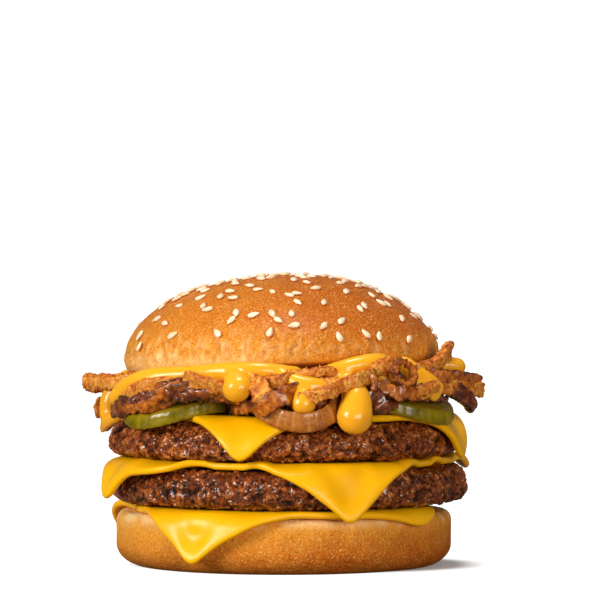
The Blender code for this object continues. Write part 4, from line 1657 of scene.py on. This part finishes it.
# Strips that show at the front, from the burger's left to its right
FRONT_STRIPS = (
    Strip(CRISP, ((-84, 62.6, 58.2), (-76, 59.4, 58.2), (-66, 56.0, 58.8), (-55, 50.0, 59.4)),
          5.2, 4.6, 0, 0.0, 1),
    Strip(CRISP, ((-58, 58.5, 55.2), (-51, 59.0, 56.5), (-44, 58.5, 58.2), (-36, 55.0, 59.2)),
          4.8, 3.2, 20, 0.5, 2),
    Strip(DARK, ((-66, 58.0, 50.4), (-59, 60.0, 51.2), (-50, 60.0, 53.4), (-38, 56.0, 56.8)),
          5.6, 2.4, 15, 0.6, 3),
    Strip(GOLDEN, ((-60, 59.0, 50.6), (-50, 60.5, 51.4), (-42, 60.0, 54.6), (-34, 56.5, 61.0)),
          3.4, 3.0, 60, 0.4, 4),
    Strip(CRISP, ((-33, 55.0, 60.6), (-28, 58.0, 60.0), (-22, 58.5, 58.6), (-18, 55.0, 56.8)),
          6.0, 3.0, 35, 0.9, 5),
    Strip(DARK, ((-44, 57.0, 55.4), (-36, 59.0, 56.4), (-29, 58.0, 58.4), (-24, 54.0, 59.0)),
          4.0, 2.2, 10, 0.5, 6),
    Strip(DARK, ((-36, 58.0, 54.8), (-30, 59.5, 55.6), (-23, 58.5, 57.0), (-18, 55.0, 58.0)),
          3.2, 2.2, 30, 0.3, 7),
    Strip(GOLDEN, ((-63, 58.0, 49.6), (-54, 59.2, 50.6), (-45, 58.6, 52.2), (-36, 56.0, 54.4)),
          3.4, 1.8, 20, 0.3, 24),
    Strip(GOLDEN, ((-47, 55.0, 58.6), (-42, 57.6, 58.0), (-37, 57.6, 58.6), (-34, 54.5, 60.4)),
          3.4, 2.4, 40, 0.4, 25),
    Strip(CRISP, ((-11, 54.0, 60.4), (-8.5, 58.0, 59.2), (-6.5, 60.0, 56.0), (-5, 59.5, 53.4)),
          6.4, 3.4, -15, 0.6, 8),
    Strip(CRISP, ((-6, 55.0, 59.6), (-2, 57.5, 60.6), (3, 55.5, 61.0)), 4.4, 3.2, 20, 0.4, 9),
    Strip(GOLDEN, ((-8, 59.0, 51.2), (-4, 61.0, 53.6), (0, 60.5, 56.0), (5, 56.0, 58.0)),
          5.6, 2.6, 25, 0.7, 10),
    Strip(CRISP, ((2, 53.5, 62.4), (9, 55.5, 63.0), (17, 54.0, 63.2)), 3.0, 2.8, 15, 0.2, 11),
    Strip(CRISP, ((4, 60.0, 55.2), (10, 61.5, 56.4), (15, 61.5, 58.2), (21, 57.0, 59.6)),
          4.0, 2.8, 20, 0.4, 12),
    Strip(CRISP, ((12, 57.0, 58.6), (18, 60.0, 59.8), (24, 60.0, 61.0), (28, 57.0, 61.8)),
          4.6, 2.8, 0, 0.5, 13),
    Strip(GOLDEN, ((27, 57.0, 61.6), (27.5, 60.0, 60.4), (27.5, 60.0, 57.0)), 3.0, 2.6, 0, 0.2, 14),
    Strip(DARK, ((25, 56.0, 59.6), (28, 60.0, 56.0), (30, 61.0, 52.6), (31.5, 60.5, 50.4)),
          5.0, 2.4, 30, 0.5, 15),
    Strip(CRISP, ((28, 54.0, 63.0), (32, 57.0, 64.6), (37, 56.5, 65.0)), 5.4, 4.0, 20, 0.3, 16),
    Strip(GOLDEN, ((29, 57.0, 59.0), (34, 60.0, 56.8), (41, 60.5, 56.2), (48, 57.0, 57.2)),
          4.4, 2.6, 10, 0.6, 17),
    Strip(CRISP, ((40, 58.5, 56.4), (45, 61.0, 56.8), (52, 60.5, 58.6)), 3.6, 2.8, 15, 0.3, 18),
    Strip(DARK, ((38, 55.0, 55.6), (48, 57.2, 54.8), (58, 57.6, 54.2), (66, 56.0, 53.6)),
          2.0, 1.2, 5, 0.2, 26),
    Strip(DARK, ((-66, 55.0, 50.6), (-56, 57.6, 50.8), (-46, 56.0, 53.2)), 2.6, 1.4, 10, 0.3, 27),
    Strip(DARK, ((1, 55.5, 53.6), (8, 57.6, 52.8), (14, 56.5, 53.4)), 5.0, 1.6, 5, 0.3, 28),
    Strip(CRISP, ((48, 54.0, 61.8), (55, 56.0, 64.4), (61, 57.0, 67.4), (67, 56.0, 70.2)),
          5.8, 3.2, 30, 0.8, 19),
    Strip(GOLDEN, ((51, 55.0, 61.4), (60, 58.5, 61.0), (70, 61.0, 59.6), (78, 62.6, 59.0)),
          4.2, 3.0, 20, 0.8, 20),
    Strip(CRISP, ((56, 56.0, 57.8), (66, 60.6, 57.2), (74, 62.6, 56.4), (80, 62.8, 55.8)),
          4.6, 2.8, 10, 0.7, 21),
    Strip(DARK, ((59, 55.0, 59.0), (64, 59.5, 56.6), (68, 62.0, 53.0), (71, 62.5, 49.8)),
          5.6, 3.4, 20, 0.8, 22),
    Strip(CRISP, ((-84, 56.0, 52.6), (-81, 59.0, 51.0), (-78, 59.4, 47.6)), 3.2, 2.6, 10, 0.3, 23),
    Strip(GOLDEN, ((-19, 46.0, 52.6), (-15, 51.0, 52.2), (-7, 54.0, 52.8)), 4.8, 2.2, 10, 0.4, 29),
)

RING_PLACES = (
    (38, 58.0, 66.2), (34.4, 59.6, 63.8), (34.8, 60.2, 60.4), (38, 60.4, 58.6), (41.6, 60.0, 60.2),
    (42, 59.0, 64.0),
)


@dataclass(frozen=True)
class Run:
    """A run of sauce through places (angle, radius, height, half its thickness)."""

    places: tuple[tuple[float, float, float, float], ...]
    wider: float = 1.0  # its width over its thickness


# Runs from the pool's edge outwards and down, from the burger's left to its right
SAUCE_RUNS = (
    Run(((-32, 52.5, 61.8, 2.5), (-42, 54.4, 61.2, 3.2), (-50, 56.2, 59.8, 3.6),
         (-57.5, 57.4, 57.2, 3.6), (-61.5, 59.2, 54.2, 2.9))),
    Run(((-68, 52.5, 58.4, 2.2), (-72, 55.6, 55.8, 3.0), (-73, 57.0, 52.6, 3.4), (-73, 57.8, 48.6, 2.9))),
    Run(((-60, 57.0, 49.4, 1.4), (-66, 57.2, 48.0, 2.0), (-72, 57.6, 46.0, 2.5), (-76, 57.8, 43.8, 2.1))),
    Run(((-18, 52.0, 62.4, 2.4), (-16.5, 54.5, 61.2, 2.9), (-15, 57.0, 60.4, 3.6),
         (-14, 58.5, 58.4, 4.5)), 1.1),
    Run(((-52, 51.5, 60.6, 1.8), (-42, 52.6, 61.6, 2.3), (-30, 53.2, 62.4, 2.7), (-20, 54.0, 63.0, 3.0),
         (-10, 54.2, 63.4, 3.0), (-2, 53.0, 63.4, 2.3), (5, 51.0, 63.4, 1.4))),
    Run(((-3, 52.5, 62.6, 2.0), (1, 54.5, 61.4, 2.5), (5, 56.5, 59.6, 2.9),
         (10, 57.0, 58.8, 2.8), (15, 56.5, 58.4, 2.2))),
    Run(((5, 56.0, 58.0, 2.2), (6, 58.5, 55.6, 3.1), (6, 59.0, 53.4, 3.5)), 1.15),
    Run(((20, 53.5, 61.0, 2.6), (21.5, 57.0, 58.0, 3.6), (22, 59.5, 54.6, 4.6),
         (21, 61.0, 49.4, 5.5)), 1.05),
    Run(((12, 50.5, 62.8, 1.4), (19, 53.2, 64.0, 2.5), (26, 54.2, 65.2, 3.0),
         (33, 54.0, 66.0, 2.8), (41, 51.8, 65.6, 1.5))),
    Run(((30, 52.0, 63.0, 1.7), (33.5, 54.5, 61.0, 2.1), (38, 56.5, 59.0, 2.2), (46, 56.5, 57.4, 1.9))),
    Run(((45, 52.0, 64.6, 1.6), (48, 55.2, 61.8, 1.7), (51.5, 57.8, 58.6, 1.8),
         (54, 58.8, 56.2, 1.9)), 2.1),
    Run(((50, 58.0, 58.6, 1.8), (49, 59.2, 56.6, 1.9), (46, 59.6, 55.4, 1.6))),
    Run(((63, 51.8, 64.0, 2.0), (66, 55.0, 64.2, 2.6), (69, 58.0, 63.6, 3.0))),
)
BACK_RUNS = (108, 141, 172, 207, 245)


@dataclass
class OnionHeap:
    """The fried and caramelised onions under the crown."""

    back_count: int = 34
    filler_count: int = 54
    crumb_size: float = 0.4
    crumb_density: float = 430000.0  # crumbs in a square metre
    rule: int = 29

    def core(self) -> bpy.types.Object:
        """The dark tangle behind the strips that show, its colour partly painted shade between them.

        Returns:
            The tangle, not yet dressed.
        """
        layer = Layer(0.0, 51.5, FILLING_BOTTOM, FILLING_TOP, (5.0, 4.0), (3.0, 3.0), 0.025, 6)
        solid = layer.solid(0.9, 6.0)
        middle = 0.5 * (FILLING_BOTTOM + FILLING_TOP)
        for i, co in enumerate(solid.points):
            point = Vector(co)
            if point.z > middle:
                point.z += LEAN * point.x
            away = Vector((point.x, point.y, 0))
            push = 1.6 * speckle(point, 3.2) + 0.7 * speckle(point, 1.4)
            if away.length > 30:
                point += away.normalized() * push
            angle = math.degrees(math.atan2(point.x, -point.y))
            bite = smooth((14 - abs(angle + 23)) / 5) * smooth((57.0 - point.z) / 1.5)
            if away.length > 43:
                point -= away.normalized() * bite * (away.length - 43)
            if point.z > FILLING_BOTTOM + 0.1:
                point.z = max(point.z, floor_height(point.x, point.y) + GAP)
            solid.points[i] = point
            # Painted shade: darker where the tangle dips inwards.
            solid.marks[i] = smooth(0.5 - push * 0.5)
        return solid.to_object("onion_tangle", HEAP_ONION.material(), "hollow")

    def loose(self) -> list[Strip]:
        """Strips all round the sides and the back, and short bits between those in front.

        Returns:
            The strips.
        """
        rule = random.Random(self.rule)
        strips = []
        for i in range(self.back_count):
            angle = 98 + 160 * (i + rule.uniform(0.1, 0.9)) / self.back_count
            span, out = rule.uniform(6, 14), rule.uniform(55.0, 59.5)
            height, slant = rule.uniform(53.0, 60.5), rule.uniform(-3.5, 3.5)
            height += LEAN * out * math.sin(math.radians(angle))
            places = (
                (angle - span, out - 2.5, height - slant),
                (angle - span * 0.3, out + 0.6, height + rule.uniform(-1, 1)),
                (angle + span * 0.4, out + 0.8, height + rule.uniform(-1, 1)),
                (angle + span, out - rule.uniform(0.0, 4.0), height + slant),
            )
            cooking = rule.choices((CRISP, DARK, GOLDEN), (5, 3, 2))[0]
            size = rule.uniform(3.2, 5.4), rule.uniform(2.2, 3.4)
            twist, curl = rule.uniform(-40, 40), rule.uniform(0.1, 0.8)
            strips.append(Strip(cooking, places, *size, twist, curl, 40 + i))
        for i in range(self.filler_count):
            angle = -72 + 172 * (i + rule.random()) / self.filler_count
            span, out = rule.uniform(3, 7), rule.uniform(51.5, 54.5)
            height, slant = rule.uniform(55.6, 61.0), rule.uniform(-2.5, 2.5)
            height += LEAN * out * math.sin(math.radians(angle))
            places = (
                (angle - span, out - 2.0, height - slant),
                (angle, out + 1.0, height),
                (angle + span, out - 1.0, height + slant),
            )
            cooking = rule.choices((CRISP, DARK, GOLDEN), (3, 4, 3))[0]
            size = rule.uniform(2.4, 4.0), rule.uniform(1.8, 2.6)
            twist, curl = rule.uniform(-60, 60), rule.uniform(0.0, 0.6)
            strips.append(Strip(cooking, places, *size, twist, curl, 90 + i))
        return strips

    def crumbs(self, finish: bpy.types.Material) -> Tree:
        """The tree that sets crumbs of batter on the crisp strips.

        Args:
            finish: The crisp onion's material.

        Returns:
            The tree.
        """
        inputs = {"Per Square Metre": self.crumb_density, "Crumb Size": self.crumb_size * MM, "Seed": 5}
        tree = Tree("batter crumbs", inputs)
        density, seed = tree.input("Per Square Metre"), tree.input("Seed")
        sockets = {"Mesh": tree.input(), "Density": density, "Seed": seed}
        how = {"distribute_method": "RANDOM"}
        spots = tree.node("GeometryNodeDistributePointsOnFaces", how, sockets)
        sockets = {"Radius": tree.input("Crumb Size"), "Subdivisions": 1}
        crumb = tree.node("GeometryNodeMeshIcoSphere", {}, sockets)
        draw = {"data_type": "FLOAT_VECTOR"}
        sockets = {0: (0.5, 0.5, 0.4), 1: (1.6, 1.3, 1.0), "Seed": 7}
        size = tree.node("FunctionNodeRandomValue", draw, sockets)
        sockets = {0: (0, 0, 0), 1: (6.28, 6.28, 6.28), "Seed": 8}
        turn = tree.node("FunctionNodeRandomValue", draw, sockets)
        sockets = {"Points": spots, "Instance": crumb, "Rotation": turn, "Scale": size}
        crumbs = tree.node("GeometryNodeInstanceOnPoints", {}, sockets)
        join = tree.tree.nodes.new("GeometryNodeJoinGeometry")
        tree.tree.links.new(tree.input().socket, join.inputs[0])
        tree.tree.links.new(crumbs.socket, join.inputs[0])
        tree.close(Value(tree, join.outputs[0]), finish)
        return tree

    def ring(self) -> Solid:
        """The small fried onion ring that stands in the sauce.

        Returns:
            The ring.
        """
        places = [polar(*place) for place in RING_PLACES]
        centres = through([*places[-2:], *places, *places[:3]], 0.5)
        away = [(centre - places[0]).length for centre in centres]
        start = min(range(len(centres) // 2), key=away.__getitem__)
        end = min(range(len(centres) // 2, len(centres)), key=away.__getitem__)
        centres = centres[start : end + 1]
        middle = sum(places, Vector()) / len(places)
        axis = Vector((middle.x, middle.y, 0)).normalized()
        rings, hollow = [], np.zeros((len(centres), 16))
        for i, centre in enumerate(centres):
            inward = (centre - middle).normalized()
            ring = []
            for k in range(16):
                turn = math.tau * k / 16
                wall = inward * math.cos(turn) * 1.0 + axis * math.sin(turn) * 1.9
                point = centre + wall
                ring.append(tuple(point + wall.normalized() * 0.6 * speckle(point, 1.3)))
                hollow[i, k] = 0.35 + 0.45 * max(math.cos(turn), 0.0) + 0.3 * max(math.sin(turn), 0.0)
            rings.append(ring)
        return Solid.from_rings(np.array(rings), hollow)

    def build(self) -> list[bpy.types.Object]:
        """Makes and dresses the tangle, the strips and their crumbs.

        Returns:
            The pieces.
        """
        strips = [*FRONT_STRIPS, *self.loose()]
        pieces = [self.core()]
        for cooking, onion in ((CRISP, CRISP_ONION), (DARK, DARK_ONION), (GOLDEN, GOLDEN_ONION)):
            solids = [strip.solid() for strip in strips if strip.cooking is cooking]
            if cooking is CRISP:
                solids.append(self.ring())
            finish = onion.material()
            piece = Solid.joined(solids).to_object(f"onions_{cooking.value}", finish, "hollow")
            if cooking is CRISP:
                self.crumbs(finish).apply(piece)
            pieces.append(piece)
        return [dress(piece, "fried_onion", "onion_heap") for piece in pieces]


@dataclass
class OnionSlice:
    """The glassy cooked slice that hangs over the upper patty's front edge."""

    places: tuple[Place, ...] = (
        (-9, 51.5, 54.8), (-6.5, 57.0, 51.8), (-1, 59.6, 49.0), (6, 61.0, 47.8), (11.5, 60.1, 49.0),
        (15.5, 57.8, 51.2), (19, 52.0, 54.2),
    )
    width: float = 6.2
    depth: float = 1.2
    step: float = 0.35

    def build(self) -> bpy.types.Object:
        """Makes and dresses the slice.

        Returns:
            The piece.
        """
        centres = through([polar(*place) for place in self.places], self.step)
        count, sides = len(centres), 32
        rings = np.zeros((count, sides, 3))
        marks = np.zeros((count, sides))
        for i, centre in enumerate(centres):
            outward, across = section_axes(centres, i)
            vein = math.sin(i * self.step * 1.1 + 2.5 * speckle(Vector((i * self.step, 0, 0)), 5.0)) ** 16
            swell = 0.2 * speckle(Vector((i * self.step, 3, 0)), 3.0)
            for k in range(sides):
                turn = math.tau * k / sides
                side = math.copysign(abs(math.cos(turn)) ** 0.6, math.cos(turn))
                u = (self.depth / 2 + swell - 0.1 * vein) * side
                edge = math.copysign(abs(math.sin(turn)) ** 0.7, math.sin(turn))
                v = (self.width / 2 + swell) * edge
                bow = 0.2 * (1 - (2 * v / self.width) ** 2) - 0.16 * v
                rings[i, k] = settled(centre + outward * (u + bow) + across * v, 0.15)
                marks[i, k] = 0.5 - 0.22 * vein + 0.35 * abs(math.sin(turn)) ** 6
        piece = Solid.from_rings(rings, marks).to_object("onion_cooked", CLEAR_ONION.material(), "hollow")
        return dress(piece, "cooked_onion", "onion_slice")


@dataclass
class Sauce:
    """The cheese sauce: a pool under the crown, and runs that fall from its edge."""

    voxel: float = 0.6
    root: float = 46.5
    back_rule: int = 5

    def pool_level(self, angle: float, radius: float) -> float:
        """The height halfway through the pool at a place."""
        return 0.5 * (SAUCE_BOTTOM + SAUCE_TOP) + LEAN * radius * math.sin(math.radians(angle))

    def back_runs(self) -> list[Run]:
        """The runs on the side that faces away.

        Returns:
            The runs.
        """
        rule = random.Random(self.back_rule)
        runs = []
        for angle in BACK_RUNS:
            thick = rule.uniform(2.6, 4.2)
            fall = rule.uniform(5.0, 10.0)
            drift = rule.uniform(-3, 3)
            level = self.pool_level(angle, 52.0)
            start = (angle, 52.5, level - 0.3, thick * 0.7)
            middle = (angle + drift, 57.0, level - fall * 0.5, thick)
            runs.append(Run((start, middle, (angle + drift, 58.5, level - fall, thick))))
        return runs

    def run(self, run: Run) -> Solid:
        """One run with a round end. A run that starts beside the pool is rooted in it.

        Args:
            run: The run.

        Returns:
            The run as a closed piece.
        """
        places = [Vector((*polar(*p[:3]), p[3])) for p in run.places]
        angle, radius, height, _ = run.places[0]
        if height > self.pool_level(angle, radius) - 4.5:
            level = self.pool_level(angle, self.root)
            places.insert(0, Vector((*polar(angle, self.root, level), 0.9)))
        path = through(places, 0.6)
        end = path[-1].w
        ahead = (path[-1].xyz - path[-2].xyz).normalized()
        for turn in (0.35, 0.65, 0.85, 0.97):
            tip = places[-1].xyz + ahead * end * turn
            path.append(Vector((*tip, end * math.sqrt(1 - turn**2))))
        sides = 16
        rings = np.zeros((len(path), sides, 3))
        for i, node in enumerate(path):
            centre, half = node.xyz, node.w
            outward, across = section_axes(path, i)
            for k in range(sides):
                turn = math.tau * k / sides
                side = across * (math.sin(turn) * run.wider)
                rings[i, k] = settled(centre + (outward * math.cos(turn) + side) * half, 0.35)
        return Solid.from_rings(rings)

    def pool(self) -> Solid:
        """The pool, with a wavy rim.

        Returns:
            The pool as a closed piece.
        """
        layer = Layer(0.0, 49.6, SAUCE_BOTTOM, SAUCE_TOP, (1.1, 1.15), (1.1, 1.15), 0.03, 15)
        solid = layer.solid(0.9, 4.0)
        solid.points[:, 2] += LEAN * solid.points[:, 0]
        return solid

    def build(self) -> bpy.types.Object:
        """Makes and dresses the sauce, melted into one smooth skin.

        Returns:
            The piece.
        """
        solids = [self.pool()] + [self.run(run) for run in (*SAUCE_RUNS, *self.back_runs())]
        piece = Solid.joined(solids).to_object("sauce", None)
        remesh = piece.modifiers.new("one skin", "REMESH")
        remesh.mode = "VOXEL"
        remesh.voxel_size = self.voxel * MM
        soften = piece.modifiers.new("soften", "SMOOTH")
        soften.factor = 0.5
        soften.iterations = 12
        flattened(piece)
        piece.data.materials.clear()
        piece.data.materials.append(SAUCE.material())
        return dress(piece, "sauce", "cheese_sauce")


@dataclass
class Studio:
    """The white floor, the lights and the camera."""

    frame_width: float = 190.5  # what the photograph's width spans at the burger, in millimetres
    distance: float = 1600.0
    elevation: float = 1.3
    aim: Place = (5.1, 0.0, 84.0)
    ambient: float = 0.14
    floor_reach: float = 6000.0

    def area(self, name: str, at: Place, size: float, watts: float, colour: Place) -> None:
        """A soft square light that faces the burger.

        Args:
            name: The light's name.
            at: Its place in metres.
            size: Its side in metres.
            watts: Its power.
            colour: Its red, green and blue.
        """
        data = bpy.data.lights.new(name, "AREA")
        data.size = size
        data.energy = watts
        data.color = colour
        light = bpy.data.objects.new(name, data)
        light.location = at
        light.rotation_euler = (Vector((0, 0, 0.045)) - Vector(at)).to_track_quat("-Z", "Y").to_euler()
        bpy.context.scene.collection.objects.link(light)

    def camera(self) -> None:
        """The camera, at the photograph's angle."""
        data = bpy.data.cameras.new("camera")
        data.lens = data.sensor_width * self.distance / self.frame_width
        data.clip_end = 20.0
        camera = bpy.data.objects.new("camera", data)
        turn = math.radians(self.elevation)
        back = Vector((0, -math.cos(turn), math.sin(turn)))
        camera.location = (Vector(self.aim) + back * self.distance) * MM
        camera.rotation_euler = (-back).to_track_quat("-Z", "Y").to_euler()
        bpy.context.scene.collection.objects.link(camera)
        bpy.context.scene.camera = camera

    def world(self) -> None:
        """A white backdrop that lights the burger less than it shows."""
        world = bpy.data.worlds.new("studio")
        world.use_nodes = True
        graph = Graph(world.node_tree)
        seen = graph.node("ShaderNodeLightPath", {}, {}, "Is Camera Ray")
        background = world.node_tree.nodes["Background"]
        background.inputs["Color"].default_value = (1.0, 0.96, 0.92, 1.0)
        strength = self.ambient + seen * (1.1 - self.ambient)
        world.node_tree.links.new(strength.socket, background.inputs["Strength"])
        bpy.context.scene.world = world

    def build(self) -> None:
        """Sets the stage."""
        self.camera()
        self.world()
        self.area("key", (-1.1, -0.88, 0.52), 0.6, 20.0, (1.0, 0.975, 0.94))
        self.area("fill", (0.6, -1.3, 0.1), 0.7, 15.8, (1.0, 0.95, 0.87))
        self.area("top", (0.05, -0.1, 1.15), 0.35, 7.0, (1.0, 0.97, 0.92))
        corners = np.array([(-1, -1, 0), (1, -1, 0), (1, 1, 0), (-1, 1, 0)]) * self.floor_reach
        floor = new_object("floor", corners, np.array([[0, 1, 2, 3]]), Floor().material())
        bpy.context.scene.view_settings.view_transform = "Standard"


def main() -> None:
    """Builds the burger from the table up, then the studio."""
    logging.basicConfig(level=logging.INFO, format="%(message)s")
    Heel().build()
    Patty(LOWER_PATTY, "patty_lower", 2.0).build()
    Patty(UPPER_PATTY, "patty_upper", 7.0).build()
    for piece in (*SLICES, *PICKLES, OnionSlice(), OnionHeap(), Sauce(), Crown(), Studio()):
        piece.build()


if __name__ == "__main__":
    main()
